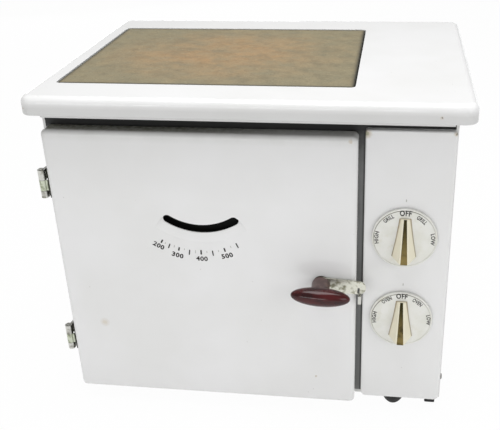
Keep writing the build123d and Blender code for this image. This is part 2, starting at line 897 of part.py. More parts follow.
def thermometer_pointer_part():
    tip = Pos(dial_x, 0, dial_z) * Rot(0, pointer_rest_angle, 0)
    hand = block(-pointer_width / 2, pointer_width / 2, pointer_y, pointer_back, -pointer_length, 0)
    hand += rod_y(pointer_y, pointer_back, 0, 0, pointer_hub)
    hand -= rod_y(pointer_y, pointer_back, 0, 0, spindle_radius)
    return tip * hand


def thermometer_spindle_part():
    return rod_y(pointer_y, thermo_back, dial_x, dial_z, spindle_radius)


def knuckle_spans(level):
    # lowest and highest level of each knuckle, from the top down
    top = level + hinge_height / 2
    spans = []
    for share in hinge_knuckle_shares:
        low = top - share * hinge_height
        spans.append((low + hinge_knuckle_gap / 2, top - hinge_knuckle_gap / 2))
        top = low
    return spans


def casing_leaf_screw_places(level):
    y = frame_front + casing_leaf_start + (casing_leaf_length - casing_leaf_start) / 2
    spread = hinge_screw_spread_share * hinge_height
    return [(y, level - spread), (y, level + spread)]


def door_leaf_screw_places(level):
    y = (hinge_y + door_leaf_back) / 2
    spread = hinge_screw_spread_share * hinge_height
    return [(y, level - spread), (y, level + spread)]


def hinge_casing_leaf(level):
    x1, x0 = casing_left, casing_left - hinge_sheet
    low, high = level - hinge_height / 2, level + hinge_height / 2
    leaf = block(x0, x1, frame_front, frame_front + casing_leaf_length, low, high)
    spans = knuckle_spans(level)
    for z0, z1 in (spans[0], spans[2]):
        arm = make_face(Polyline((x0, frame_front), (x1, frame_front), (hinge_x + hinge_barrel, hinge_y),
                                 (hinge_x, hinge_y), close=True))
        leaf += extrude(Pos(0, 0, z0) * arm, z1 - z0)
        leaf += rod_z(z0, z1, hinge_x, hinge_y, hinge_barrel)
    for z0, z1 in spans:
        leaf -= rod_z(z0, z1, hinge_x, hinge_y, hinge_pin)
    for y, z in casing_leaf_screw_places(level):
        leaf -= rod_x(x0, x1, y, z, hinge_screw_radius)
    return leaf


def hinge_door_leaf(level):
    x1, x0 = door_left, door_left - hinge_sheet
    low, high = level - hinge_height / 2, level + hinge_height / 2
    leaf = block(x0, x1, hinge_y - hinge_sheet, door_leaf_back, low, high)
    z0, z1 = knuckle_spans(level)[1]
    leaf += block(hinge_x, x0, hinge_y - hinge_sheet, hinge_y, z0, z1)
    leaf += rod_z(z0, z1, hinge_x, hinge_y, hinge_barrel)
    leaf -= rod_z(z0, z1, hinge_x, hinge_y, hinge_pin + running_gap)
    for y, z in door_leaf_screw_places(level):
        leaf -= rod_x(x0, x1, y, z, hinge_screw_radius)
    return leaf


def hinge_pins_part():
    pins = []
    for level in hinge_levels:
        low, high = level - hinge_height / 2, level + hinge_height / 2
        pin = rod_z(low, high, hinge_x, hinge_y, hinge_pin)
        pins.append(pin + rod_z(high, high + pin_head, hinge_x, hinge_y, pin_head_radius))
    return group(pins)


def side_screw(x, inward, y, z, radius, length, head_radius, head):
    # a pan-head screw along X, its head outside x and its shank inwards
    x0, x1 = sorted((x, x + inward * length))
    h0, h1 = sorted((x, x - inward * head))
    return rod_x(x0, x1, y, z, radius) + rod_x(h0, h1, y, z, head_radius)


def hinge_casing_screws_part():
    x = casing_left - hinge_sheet
    return group([side_screw(x, 1, y, z, hinge_screw_radius, hinge_screw_length, hinge_screw_head_radius,
                             hinge_screw_head)
                  for level in hinge_levels for y, z in casing_leaf_screw_places(level)])


def hinge_door_screws_part():
    x = door_left - hinge_sheet
    return group([side_screw(x, 1, y, z, hinge_screw_radius, hinge_screw_length, hinge_screw_head_radius,
                             hinge_screw_head)
                  for level in hinge_levels for y, z in door_leaf_screw_places(level)])


def casing_screws_part():
    screws = []
    for x, inward in ((casing_left, 1), (casing_right, -1)):
        for y, z in side_screw_places():
            screws.append(side_screw(x, inward, y, z, screw_radius, screw_length,
                                     screw_head_radius, screw_head))
    return group(screws)


def back_screws_part():
    screws = []
    for x, z in back_screw_places():
        shank = rod_y(casing_back - screw_length, casing_back, x, z, screw_radius)
        screws.append(shank + rod_y(casing_back, casing_back + screw_head, x, z, screw_head_radius))
    return group(screws)


def tilted(shape):
    # the handle rests a little clockwise of level, as seen from the front
    return shape.rotate(Axis((latch_x, 0, latch_z), (0, 1, 0)), latch_tilt)


def grip_body():
    half = grip_girth / 2
    return Pos(latch_x + grip_offset, grip_y, latch_z) * scale(Sphere(1), by=(grip_length / 2, half, half))


def handle_stem_part():
    bottom = arm_front
    stem = around_y([(0, bottom), (stem_root_radius, bottom), (stem_radius, grip_y), (0, grip_y)],
                    latch_x, latch_z)
    stem -= grip_body()
    return stem - rod_y(latch_rod_front, bottom, latch_x, latch_z, latch_rod_radius)


def handle_grip_part():
    return grip_body() - rod_y(latch_rod_front, arm_front, latch_x, latch_z, latch_rod_radius)


def latch_arm_part():
    half, tip_half = arm_height / 2, arm_tip_height / 2
    tip = latch_x + arm_reach - tip_half
    outline = make_face(Polyline((latch_x, arm_front, latch_z - half), (tip, arm_front, latch_z - tip_half),
                                 (tip, arm_front, latch_z + tip_half), (latch_x, arm_front, latch_z + half),
                                 close=True))
    arm = extrude(outline, arm_sheet, dir=(0, 1, 0))
    arm += rod_y(arm_front, arm_back, latch_x, latch_z, half)
    arm += rod_y(arm_front, arm_back, tip, latch_z, tip_half)
    slot_x = latch_x + arm_reach - arm_slot_inset
    arm -= block(slot_x - arm_slot_width / 2, slot_x + arm_slot_width / 2, arm_front, arm_back,
                 latch_z - arm_slot_height, latch_z)
    return arm - rod_y(arm_front, arm_back, latch_x, latch_z, latch_rod_radius)


def latch_spindle_part():
    spindle = rod_y(latch_rod_front, latch_rod_back, latch_x, latch_z, latch_rod_radius)
    y0 = shell_inside + latch_bush_length + latch_nut_gap
    nut = nut_y(y0, y0 + latch_nut_height, latch_x, latch_z, latch_nut_size, latch_rod_radius)
    return group([spindle, nut])


def latch_bush_part():
    bush = rod_y(arm_back + latch_nut_gap, door_front, latch_x, latch_z, latch_bush_flange)
    bush += rod_y(door_front, shell_inside + latch_bush_length, latch_x, latch_z, latch_bush_radius)
    return bush - rod_y(arm_back, shell_inside + latch_bush_length, latch_x, latch_z,
                        latch_rod_radius + running_gap)


def keeper_levels():
    # bottom, notch floor and lip top of the keeper, under the resting arm's lower edge
    reach = keeper_right - latch_x
    slope = (arm_height - arm_tip_height) / 2 / (arm_reach - arm_tip_height / 2)
    half = arm_height / 2 - slope * reach
    edge = latch_z - half * cos(radians(latch_tilt)) - reach * sin(radians(latch_tilt))
    lip = edge - keeper_lift
    floor = lip - keeper_notch
    return floor - keeper_body, floor, lip


def keeper_slot_limits():
    bottom, floor, lip = keeper_levels()
    return (keeper_left - slot_clearance, keeper_right + slot_clearance,
            bottom - slot_clearance, floor + slot_clearance)


def latch_keeper_part():
    bottom, floor, lip = keeper_levels()
    nose_back = arm_front - keeper_arm_gap
    nose_front = nose_back - keeper_nose
    keeper = block(keeper_left, keeper_right, nose_front, frame_back, bottom, floor)
    keeper += block(keeper_left, keeper_right, nose_front, nose_back, floor, lip)
    middle = (bottom + floor) / 2
    keeper += block(keeper_left, keeper_left + keeper_foot_width, frame_back,
                    frame_back + keeper_foot_sheet, middle - keeper_foot_height / 2,
                    middle + keeper_foot_height / 2)
    return keeper


def knob_strip(level):
    # brass strip along the ridge of the grip, a tapered bar from the tip to the tail
    back = strip_sheet - strip_proud
    tip_y = knob_face - grip_tip_rise
    tail_y = knob_face - grip_tail_rise
    faces = []
    for y, z, half in ((tip_y, level + grip_tip, strip_tip_half),
                       (tail_y, level - grip_tail, strip_tail_half)):
        corners = [(knob_x - half, y - strip_proud, z), (knob_x + half, y - strip_proud, z),
                   (knob_x + half, y + back, z), (knob_x - half, y + back, z)]
        faces.append(make_face(Polyline(*corners, close=True)))
    return loft(faces, ruled=True)


def knob_part(level):
    rim = knob_rim_face
    skirt = around_y([(0, knob_back), (knob_radius, knob_back), (knob_radius, knob_back - knob_rim),
                      (knob_radius - knob_rim_bevel, rim), (0, knob_face)], knob_x, level)
    hollow = around_y([(knob_hub_radius, knob_back), (knob_radius - knob_wall, knob_back),
                       (knob_radius - knob_wall, knob_back - knob_rim + knob_wall / 2),
                       (knob_hub_radius, knob_back - knob_rim)], knob_x, level)
    groove = knob_radius - knob_groove_inset
    skirt -= around_y([(groove - knob_groove_width, knob_face), (groove, knob_face),
                       (groove, rim + knob_groove_depth),
                       (groove - knob_groove_width, rim + knob_groove_depth)], knob_x, level)
    faces = []
    tip = (level + grip_tip, grip_tip_root_half, grip_tip_ridge_half, grip_tip_rise)
    tail = (level - grip_tail, grip_tail_root_half, grip_tail_ridge_half, grip_tail_rise)
    for z, root, ridge, rise in (tip, tail):
        corners = [(knob_x - root, rim, z), (knob_x + root, rim, z),
                   (knob_x + ridge, knob_face - rise, z), (knob_x - ridge, knob_face - rise, z)]
        faces.append(make_face(Polyline(*corners, close=True)))
    grip = loft(faces, ruled=True)
    grip = fillet(grip.edges().filter_by(lambda edge: edge.center().Y < rim - grip_edge), grip_edge)
    knob = skirt - hollow + grip
    bore = rod_y(knob_back - shaft_in_knob, knob_back, knob_x, level, shaft_radius)
    return knob - bore - knob_strip(level)


def shaft_part(level):
    return rod_y(knob_back - shaft_in_knob, frame_back + shaft_in_switch, knob_x, level, shaft_radius)


def switch_part(level):
    half = switch_width / 2
    body = block(knob_x - half, knob_x + half, frame_back, switch_back, level - half, level + half)
    body += rod_y(switch_neck_front, frame_back, knob_x, level, switch_neck_radius)
    end = frame_back + shaft_in_switch
    return body - rod_y(switch_neck_front, end, knob_x, level, shaft_radius + running_gap)


def switch_nuts_part():
    return group([nut_y(frame_front - switch_nut_height, frame_front, knob_x, level, switch_nut_size,
                        switch_neck_radius) for level in knob_levels])


def tab_places(level):
    half = tab_spread / 2
    return [(knob_x + side * half, level + rise * half) for side in (-1, 1) for rise in (-1, 1)]


def switch_tabs_part():
    tabs = []
    for level in knob_levels:
        for x, z in tab_places(level):
            tabs.append(block(x - tab_width / 2, x + tab_width / 2, switch_back, switch_back + tab_length,
                              z - tab_sheet / 2, z + tab_sheet / 2))
    return group(tabs)


def terminal_xs():
    return [supply_x + step * terminal_pitch for step in (-1, 0, 1)]


def terminal_block_part():
    half = terminal_width / 2
    body = block(supply_x - half, supply_x + half, terminal_front, inner_back,
                 terminal_z - terminal_height / 2, terminal_z + terminal_height / 2)
    top = terminal_z + terminal_height / 2
    for x in terminal_xs():
        body -= rod_z(terminal_z, top, x, terminal_front + terminal_depth / 2, terminal_screw_radius)
    return body


def terminal_screws_part():
    top = terminal_z + terminal_height / 2
    y = terminal_front + terminal_depth / 2
    return group([rod_z(terminal_z, top, x, y, terminal_screw_radius)
                  + rod_z(top, top + terminal_screw_head, x, y, terminal_screw_head_radius)
                  for x in terminal_xs()])


def loom_wire(x, z_switch):
    # from the terminal block forward to the back of one switch
    y0 = terminal_front
    y1 = switch_back
    turn = y1 + loom_turn_share * (y0 - y1)
    points = [(x, y0, terminal_z), (x, turn, terminal_z), (x, (turn + y1) / 2, z_switch), (x, y1, z_switch)]
    path = FilletPolyline(*points, radius=wire_bend)
    section = Plane(origin=points[0], z_dir=(0, -1, 0)) * Circle(wire_radius)
    return sweep(section, path=path)


def element_wire(y, across):
    # from one end of the grill element down on to the upper switch
    x0 = element_end
    top = knob_levels[0] + switch_width / 2
    x1 = x0 + across
    y1 = frame_back + switch_depth / 2
    points = [(x0, y, element_z), (x1, y, element_z), (x1, y1, element_z - element_wire_drop), (x1, y1, top)]
    path = FilletPolyline(*points, radius=wire_bend)
    section = Plane(origin=points[0], z_dir=(1, 0, 0)) * Circle(wire_radius)
    return sweep(section, path=path)


def wiring_part():
    wires = []
    for level, places in zip(knob_levels, loom_place_shares):
        wires += [loom_wire(supply_x + place * loom_pitch, level) for place in places]
    for y, across in zip((element_first, element_last), element_wire_offsets):
        wires.append(element_wire(y, across))
    return group(wires)


def cable_gland_part():
    inside = inner_back - gland_inner_length
    outside = casing_back + gland_outer_length
    body = rod_y(inside, outside, supply_x, gland_z, gland_radius)
    body += rod_y(casing_back, casing_back + gland_flange, supply_x, gland_z, gland_flange_radius)
    body -= rod_y(inside, outside, supply_x, gland_z, gland_bore)
    nut = nut_y(inner_back - gland_nut_length, inner_back, supply_x, gland_z,
                2 * gland_flange_radius, gland_radius)
    return group([body, nut])


def earth_stud_part():
    x = supply_x - earth_offset
    stud = rod_y(inner_back - earth_nut_height, casing_back + earth_length, x, gland_z, earth_radius)
    outer = nut_y(casing_back, casing_back + earth_nut_height, x, gland_z, earth_nut_size, earth_radius)
    inner = nut_y(inner_back - earth_nut_height, inner_back, x, gland_z, earth_nut_size, earth_radius)
    return group([stud, outer, inner])


def corner_feet_part():
    half = corner_foot_size / 2
    feet = []
    for x, y in corner_foot_places():
        foot = block(x - half, x + half, y - half, y + half, 0, casing_bottom)
        foot = fillet(foot.edges().filter_by(Axis.Z), corner_foot_edge)
        foot += rod_z(casing_bottom, base_under, x, y, corner_foot_neck)
        feet.append(foot + rod_z(base_under, base_under + stud_length, x, y, stud_radius))
    return group(feet)


def domed_feet_part():
    shoulder = casing_bottom - domed_foot_clearance
    bulge = domed_foot_flat + foot_bulge_share * (domed_foot_radius - domed_foot_flat)
    feet = []
    for x, y in domed_foot_places():
        arc = ThreePointArc((x + domed_foot_flat, y, 0),
                            (x + bulge, y, foot_bulge_height_share * shoulder),
                            (x + domed_foot_radius, y, shoulder))
        rest = Polyline((x + domed_foot_radius, y, shoulder), (x + domed_foot_neck, y, shoulder),
                        (x + domed_foot_neck, y, base_under), (x, y, base_under), (x, y, 0),
                        (x + domed_foot_flat, y, 0))
        foot = revolve(make_face([arc] + list(rest.edges())), Axis((x, y, 0), (0, 0, 1)))
        feet.append(foot + rod_z(base_under, base_under + stud_length, x, y, stud_radius))
    return group(feet)


def foot_nuts_part():
    return group([nut_z(floor_top, floor_top + stud_nut_height, x, y, stud_nut_size, stud_radius)
                  for x, y in corner_foot_places() + domed_foot_places()])


os.makedirs("parts", exist_ok=True)

parts = {
    "hob_top": hob_top_part(),
    "boiling_plate": boiling_plate_part(),
    "grill_element": grill_element_part(),
    "element_bars": element_bars_part(),
    "grill_bushes": grill_bushes_part(),
    "left_side_panel": side_panel_part(True),
    "right_side_panel": side_panel_part(False),
    "back_panel": back_panel_part(),
    "base_panel": base_panel_part(),
    "front_frame": front_frame_part(),
    "partition": partition_part(),
    "oven_liner": oven_liner_part(),
    "oven_insulation": oven_insulation_part(),
    "side_elements": side_elements_part(),
    "element_bushes": element_bushes_part(),
    "left_shelf_rack": shelf_rack_part(True),
    "right_shelf_rack": shelf_rack_part(False),
    "lower_shelf": wire_shelf_part(shelf_levels[0]),
    "upper_shelf": wire_shelf_part(shelf_levels[1]),
    "control_panel": control_panel_part(),
    "upper_switch": switch_part(knob_levels[0]),
    "lower_switch": switch_part(knob_levels[1]),
    "switch_nuts": switch_nuts_part(),
    "switch_tabs": switch_tabs_part(),
    "upper_knob": knob_part(knob_levels[0]),
    "lower_knob": knob_part(knob_levels[1]),
    "upper_knob_strip": knob_strip(knob_levels[0]),
    "lower_knob_strip": knob_strip(knob_levels[1]),
    "upper_switch_shaft": shaft_part(knob_levels[0]),
    "lower_switch_shaft": shaft_part(knob_levels[1]),
    "terminal_block": terminal_block_part(),
    "terminal_screws": terminal_screws_part(),
    "wiring": wiring_part(),
    "cable_gland": cable_gland_part(),
    "earth_stud": earth_stud_part(),
    "corner_feet": corner_feet_part(),
    "domed_feet": domed_feet_part(),
    "foot_nuts": foot_nuts_part(),
    "casing_screws": casing_screws_part(),
    "back_screws": back_screws_part(),
    "door_shell": door_shell_part(),
    "door_inner_panel": door_inner_panel_part(),
    "door_insulation": door_insulation_part(),
    "door_seal": door_seal_part(),
    "thermometer_housing": thermometer_housing_part(),
    "thermometer_bush": thermometer_bush_part(),
    "bimetal_coil": bimetal_coil_part(),
    "thermometer_pointer": thermometer_pointer_part(),
    "thermometer_spindle": thermometer_spindle_part(),
    "hinge_casing_leaves": group([hinge_casing_leaf(level) for level in hinge_levels]),
    "hinge_door_leaves": group([hinge_door_leaf(level) for level in hinge_levels]),
    "hinge_pins": hinge_pins_part(),
    "hinge_casing_screws": hinge_casing_screws_part(),
    "hinge_door_screws": hinge_door_screws_part(),
    "handle_grip": tilted(handle_grip_part()),
    "handle_stem": tilted(handle_stem_part()),
    "latch_arm": tilted(latch_arm_part()),
    "latch_spindle": latch_spindle_part(),
    "latch_bush": latch_bush_part(),
    "latch_keeper": latch_keeper_part(),
}

for name, shape in parts.items():
    export_step(shape, f"parts/{name}.step")
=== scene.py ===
import math
from functools import partial

import bmesh
import bpy
from mathutils import Matrix, Vector


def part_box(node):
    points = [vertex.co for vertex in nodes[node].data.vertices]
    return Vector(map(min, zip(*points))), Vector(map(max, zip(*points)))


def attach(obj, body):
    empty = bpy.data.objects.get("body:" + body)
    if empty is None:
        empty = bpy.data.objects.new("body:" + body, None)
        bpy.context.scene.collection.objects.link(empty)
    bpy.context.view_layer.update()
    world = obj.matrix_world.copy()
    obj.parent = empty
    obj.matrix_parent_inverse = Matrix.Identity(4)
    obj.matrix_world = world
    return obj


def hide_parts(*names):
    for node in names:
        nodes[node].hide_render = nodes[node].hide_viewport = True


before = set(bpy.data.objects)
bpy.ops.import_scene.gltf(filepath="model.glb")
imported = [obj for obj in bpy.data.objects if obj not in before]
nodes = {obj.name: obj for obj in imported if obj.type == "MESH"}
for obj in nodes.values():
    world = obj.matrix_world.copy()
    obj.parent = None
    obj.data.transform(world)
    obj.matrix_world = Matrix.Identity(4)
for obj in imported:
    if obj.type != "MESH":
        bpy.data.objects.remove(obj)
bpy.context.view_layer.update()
bpy.ops.object.select_all(action="DESELECT")
mm = 0.001
print("frame loaded:", len(nodes), "nodes")


# Helpers

def linear(hexColour):
    # sRGB hex to the linear colour that the sockets take
    shares = [int(hexColour[i:i + 2], 16) / 255 for i in (1, 3, 5)]
    return [s / 12.92 if s <= 0.04045 else ((s + 0.055) / 1.055) ** 2.4 for s in shares] + [1]


def setInputs(node, inputs):
    # each input has a name or a number, and takes a value, a hex colour or another node's output
    for name, value in inputs.items():
        if isinstance(value, bpy.types.NodeSocket):
            node.id_data.links.new(value, node.inputs[name])
        else:
            node.inputs[name].default_value = linear(value) if isinstance(value, str) else value


def addNode(tree, kind, inputs, output=0, **settings):
    # adds one node with its settings and links, and gives one of its outputs
    node = tree.nodes.new("ShaderNode" + kind)
    for name, value in settings.items():
        setattr(node, name, value)
    setInputs(node, inputs)
    return node.outputs[output]


def newMaterial(name):
    # the material, its own addNode, its shader, and the place on the piece that patterns read
    material = bpy.data.materials.new(name)
    material.use_nodes = True
    tree = material.node_tree
    add = partial(addNode, tree)
    return material, add, tree.nodes["Principled BSDF"], add("TexCoord", {}, "Object")


# Sizes that the finish of each piece needs, read from the frame
hobLow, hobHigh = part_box("hob_top")
doorLow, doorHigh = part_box("door_shell")
panelLow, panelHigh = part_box("control_panel")
plateLow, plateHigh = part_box("boiling_plate")
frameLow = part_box("front_frame")[0]
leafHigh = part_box("hinge_door_leaves")[1]


def hobPoint(x, y, z):
    # a point given in millimetres from the hob's front left top corner
    return Vector((hobLow.x + x * mm, hobLow.y + y * mm, hobHigh.z + z * mm))


# The face of a knob, in millimetres: its radius, the height of its cone, how far its rim stands in
# front of its back, how far its groove lies in from the edge, and each word's angle, radius, length
# and height
knobFace = {
    "radius": 34.9, "dome": 2.0, "rim": 2.8, "groove": 1.85,
    "upper": {"OFF": [(0.2, 31.0, 12.8, 6.6)], "GRILL": [(-37, 30.0, 12.4, 4.8), (37, 29.4, 12.4, 4.8)],
              "HIGH": [(-89, 30.5, 15.0, 4.6)], "LOW": [(89, 30.6, 14.0, 4.6)]},
    "lower": {"OFF": [(0.2, 31.2, 12.8, 6.6)], "OVEN": [(-33.5, 30.6, 12.4, 4.8), (36.5, 30.0, 12.4, 4.8)],
              "HIGH": [(-87, 30.6, 15.0, 4.6)], "LOW": [(88, 31.4, 13.5, 4.6)]},
}


# Materials
# In a Map Range node the inputs are 0 value, 1 and 2 the range read, 3 and 4 the range given; in a
# Mix node of two colours they are 0 share, 6 and 7 the colours, and the result is output 2

rgba = {"output": 2, "data_type": "RGBA"}
grit = 0.55  # roughness of each noise: how much its finer layers count


def enamel(name, look):
    # vitreous enamel: glass fused on sheet steel, so a glossy skin with a very faint orange peel
    material, add, shader, place = newMaterial(name)
    cloud = add("TexNoise", {0: place, "Scale": 1 / (90 * mm), "Detail": 2, "Roughness": grit})
    share = add("MapRange", {0: cloud, 1: 0.35, 2: 0.65})
    colour = add("Mix", {0: share, 6: look["body"], 7: look["shade"]}, **rgba)
    for axis, full, gone, tint, weight, least in look.get("bands", ()):
        # a band along an edge, which is dirt on some pieces and painted shade on others: full at one level
        # and gone at the other, in patches with a least share
        fade = add("MapRange", {0: add("SeparateXYZ", {0: place}, axis), 1: full, 2: gone, 3: weight, 4: 0})
        patches = add("TexNoise", {0: place, "Scale": 1 / (22 * mm), "Detail": 4, "Roughness": grit})
        held = add("MapRange", {0: patches, 1: 0.38, 2: 0.6, 3: least})
        share = add("Math", {0: fade, 1: held}, operation="MULTIPLY")
        colour = add("Mix", {0: share, 6: colour, 7: tint}, **rgba)
    if "ledge" in look:
        colour = ledgeGrimeAndShade(add, place, colour, look["ledge"])
    # pinholes and specks of dust, under a millimetre, a few in each square decimetre
    dot = add("MapRange", {0: add("TexVoronoi", {0: place, "Scale": 1 / (13 * mm)}),
                           1: 0.028, 2: 0.045, 3: 0.55, 4: 0})
    area = add("TexNoise", {0: add("Mapping", {0: place, "Location": (3, 1, 2)}),
                            "Scale": 1 / (45 * mm), "Detail": 1, "Roughness": grit})
    picked = add("MapRange", {0: area, 1: 0.57, 2: 0.6})
    share = add("Math", {0: dot, 1: picked}, operation="MULTIPLY")
    colour = add("Mix", {0: share, 6: colour, 7: look["speck"]}, **rgba)
    ragged = add("TexNoise", {0: place, "Scale": 1 / (1.6 * mm), "Detail": 4, "Roughness": grit})
    ragged = add("MapRange", {0: ragged, 1: 0.3, 2: 0.7, 3: -0.6 * mm, 4: 0.6 * mm})
    for spot in look.get("chips", ()):
        # a chip shows the black ground coat, or dirt on it, and a rusty ring round it
        radius = spot["radius"] * mm
        away = add("VectorMath", {0: place, 1: spot["at"]}, "Value", operation="DISTANCE")
        edge = add("Math", {0: away, 1: ragged}, operation="ADD")
        ring = add("MapRange", {0: edge, 1: radius, 2: 2.6 * radius, 3: spot["stain"], 4: 0})
        colour = add("Mix", {0: ring, 6: colour, 7: look["rust"]}, **rgba)
        core = add("MapRange", {0: edge, 1: 0.8 * radius, 2: radius, 3: spot["depth"], 4: 0})
        colour = add("Mix", {0: core, 6: colour, 7: spot.get("core", look["chip"])}, **rgba)
    peel = add("TexNoise", {0: place, "Scale": 1 / (3.2 * mm), "Detail": 2, "Roughness": grit})
    relief = add("Bump", {"Height": peel, "Strength": look["peel"], "Distance": 0.05 * mm})
    setInputs(shader, {"Base Color": colour, "Roughness": look["roughness"], "IOR": 1.5, "Normal": relief})
    return material


def ledgeGrimeAndShade(add, place, colour, ledge):
    # grease and soot on a level top edge, and painted shade that is darkest at its back, under the hob's rim
    start, end = ledge["along"]
    up = add("MapRange", {0: add("SeparateXYZ", {0: place}, 2),
                          1: ledge["level"] - 2.6 * mm, 2: ledge["level"] - 0.4 * mm})
    along = add("MapRange", {0: add("SeparateXYZ", {0: place}, 0), 1: start, 2: end, 3: 1, 4: 0.25})
    patches = add("TexNoise", {0: place, "Scale": 1 / (5 * mm), "Detail": 4, "Roughness": grit})
    patches = add("MapRange", {0: patches, 1: 0.34, 2: 0.62, 3: 0.6})
    held = add("Math", {0: up, 1: along}, operation="MULTIPLY")
    held = add("Math", {0: held, 1: patches}, operation="MULTIPLY")
    for full, gone, tint, weight in ledge["bands"]:
        fade = add("MapRange", {0: add("SeparateXYZ", {0: place}, 1), 1: full, 2: gone, 3: weight, 4: 0})
        share = add("Math", {0: fade, 1: held}, operation="MULTIPLY")
        colour = add("Mix", {0: share, 6: colour, 7: tint}, **rgba)
    return colour


whiteCoat = {"body": "#EEEEEE", "shade": "#EAEAE9", "roughness": 0.09, "peel": 0.12, "speck": "#8A8478",
             "rust": "#B9A074", "chip": "#2B2622"}

hobEnamel = enamel("white vitreous enamel, hob", {
    **whiteCoat,
    # the rim's face is darker; the left end is darker still, which is painted shade
    "bands": [(2, hobHigh.z - 12 * mm, hobHigh.z - 6 * mm, "#BEBEBC", 0.5, 0.95),
              (0, hobLow.x, hobLow.x + 160 * mm, "#D2D2D0", 0.12, 1)],
    "chips": [{"at": hobPoint(438.6, 0, -12.9), "radius": 0.9, "stain": 0.3, "depth": 0.75},
              {"at": hobPoint(5.5, 3, -13), "radius": 0.8, "stain": 0.25, "depth": 0.5},
              {"at": hobPoint(262, 365, -10), "radius": 1.5, "stain": 0.5, "depth": 0.9},
              {"at": hobPoint(475, 250, -14), "radius": 1.2, "stain": 0.4, "depth": 0.8}],
})
doorEnamel = enamel("white vitreous enamel, door", {
    **whiteCoat,
    # darker towards the top, where the hob's overhang shades it: painted shade; a yellower band along the
    # foot
    "bands": [(2, doorHigh.z - 6 * mm, doorHigh.z - 80 * mm, "#C9C9C8", 0.3, 0.95),
              (2, doorHigh.z - 2 * mm, doorHigh.z - 12 * mm, "#B8B9B3", 0.3, 0.6),
              (2, doorLow.z + 0.5 * mm, doorLow.z + 5 * mm, "#C9C4B4", 0.3, 0.45)],
    "ledge": {"level": doorHigh.z,
              "along": (doorLow.x + 0.42 * (doorHigh.x - doorLow.x), doorHigh.x - 60 * mm),
              "bands": [(doorLow.y + 8 * mm, doorLow.y + 3 * mm, "#8C8B7A", 0.85),
                        (doorLow.y + 21 * mm, doorLow.y + 10 * mm, "#33311F", 0.8)]},
    "chips": [{"at": hobPoint(311, 7.5, -342.5), "radius": 0.8, "stain": 0.4, "depth": 0.3},
              {"at": hobPoint(57.3, 7.5, -281.8), "radius": 2.6, "stain": 0.22, "depth": 0.25,
               "core": "#D2C8AA"},
              {"at": hobPoint(349, 9, -43.5), "radius": 1.1, "stain": 0.5, "depth": 0.8}],
})
panelEnamel = enamel("white vitreous enamel, control panel", {
    **whiteCoat,
    "chips": [{"at": Vector((panelLow.x + 1.5 * mm, panelLow.y + 1 * mm, panelHigh.z - 4 * mm)),
               "radius": 2.4, "stain": 0.5, "depth": 0.55, "core": "#8B9068"},
              {"at": Vector((panelHigh.x - 1.5 * mm, panelLow.y + 1 * mm, panelHigh.z - 2.5 * mm)),
               "radius": 1.3, "stain": 0.5, "depth": 0.7, "core": "#5B5A45"},
              {"at": Vector((panelLow.x + 1.5 * mm, panelLow.y + 2 * mm, panelLow.z + 9 * mm)),
               "radius": 0.8, "stain": 0.3, "depth": 0.5}],
})
sideEnamel = enamel("white vitreous enamel, casing", {
    **whiteCoat,
    # darker just under the hob, and along the foot
    "bands": [(2, hobHigh.z - 24 * mm, hobHigh.z - 40 * mm, "#B9B6A6", 0.5, 0.45),
              (2, doorLow.z, doorLow.z + 10 * mm, "#BDB8A8", 0.45, 0.45)],
    "chips": [{"at": hobPoint(458.5, 300, -330), "radius": 2.2, "stain": 0.5, "depth": 0.9},
              {"at": hobPoint(458.5, 70, -371), "radius": 2.8, "stain": 0.5, "depth": 0.9},
              {"at": hobPoint(11, 200, -371), "radius": 2.4, "stain": 0.5, "depth": 0.9}],
})
frameEnamel = enamel("grey vitreous enamel, front frame", {
    "body": "#8C8D8C", "shade": "#7F807F", "roughness": 0.45, "peel": 0.2, "speck": "#2C2A27",
    "rust": "#6B5A45", "chip": "#1E1B18",
    # painted shadow: dark along the panel's edge, darker towards the top and black just under the hob; a
    # white line near the foot
    "bands": [(0, panelLow.x - 0.8 * mm, panelLow.x - 2.6 * mm, "#1B1A16", 1, 0.9),
              (2, hobHigh.z - 46 * mm, hobHigh.z - 90 * mm, "#2E2E2A", 0.8, 0.45),
              (2, hobHigh.z - 38 * mm, hobHigh.z - 50 * mm, "#050504", 1, 1),
              (2, frameLow.z + 3.4 * mm, frameLow.z + 4.4 * mm, "#E4E4E1", 1, 1)],
})


def speckledEnamel(name, look):
    # dark ground-coat enamel of an oven lining, flecked with white frit about a millimetre across
    material, add, shader, place = newMaterial(name)
    cloud = add("TexNoise", {0: place, "Scale": 1 / (70 * mm), "Detail": 3, "Roughness": grit})
    cloud = add("MapRange", {0: cloud, 1: 0.35, 2: 0.7})
    colour = add("Mix", {0: cloud, 6: look["body"], 7: look["shade"]}, **rgba)
    cells = add("TexVoronoi", {0: place, "Scale": 1 / (4.2 * mm)})
    fleck = add("MapRange", {0: cells, 1: 0.13, 2: 0.19, 3: 0.75, 4: 0})
    colour = add("Mix", {0: fleck, 6: colour, 7: look["fleck"]}, **rgba)
    # baked-on fat: brown, dull and thicker in patches
    fat = add("TexNoise", {0: add("Mapping", {0: place, "Location": (1, 4, 2)}),
                           "Scale": 1 / (55 * mm), "Detail": 5, "Roughness": grit})
    fat = add("MapRange", {0: fat, 1: 0.52, 2: 0.72, 3: 0, 4: 0.8})
    colour = add("Mix", {0: fat, 6: colour, 7: look["fat"]}, **rgba)
    dull = add("MapRange", {0: fat, 2: 0.8, 3: 0.2, 4: 0.62})
    skin = add("TexNoise", {0: place, "Scale": 1 / (3 * mm), "Detail": 2, "Roughness": grit})
    height = add("Math", {0: skin, 1: fat}, operation="ADD")
    relief = add("Bump", {"Height": height, "Strength": 0.35, "Distance": 0.12 * mm})
    setInputs(shader, {"Base Color": colour, "Roughness": dull, "IOR": 1.5, "Normal": relief})
    return material


liningEnamel = speckledEnamel("speckled oven enamel", {"body": "#23262E", "shade": "#191B21",
                                                      "fleck": "#B9BBC0", "fat": "#3A2415"})


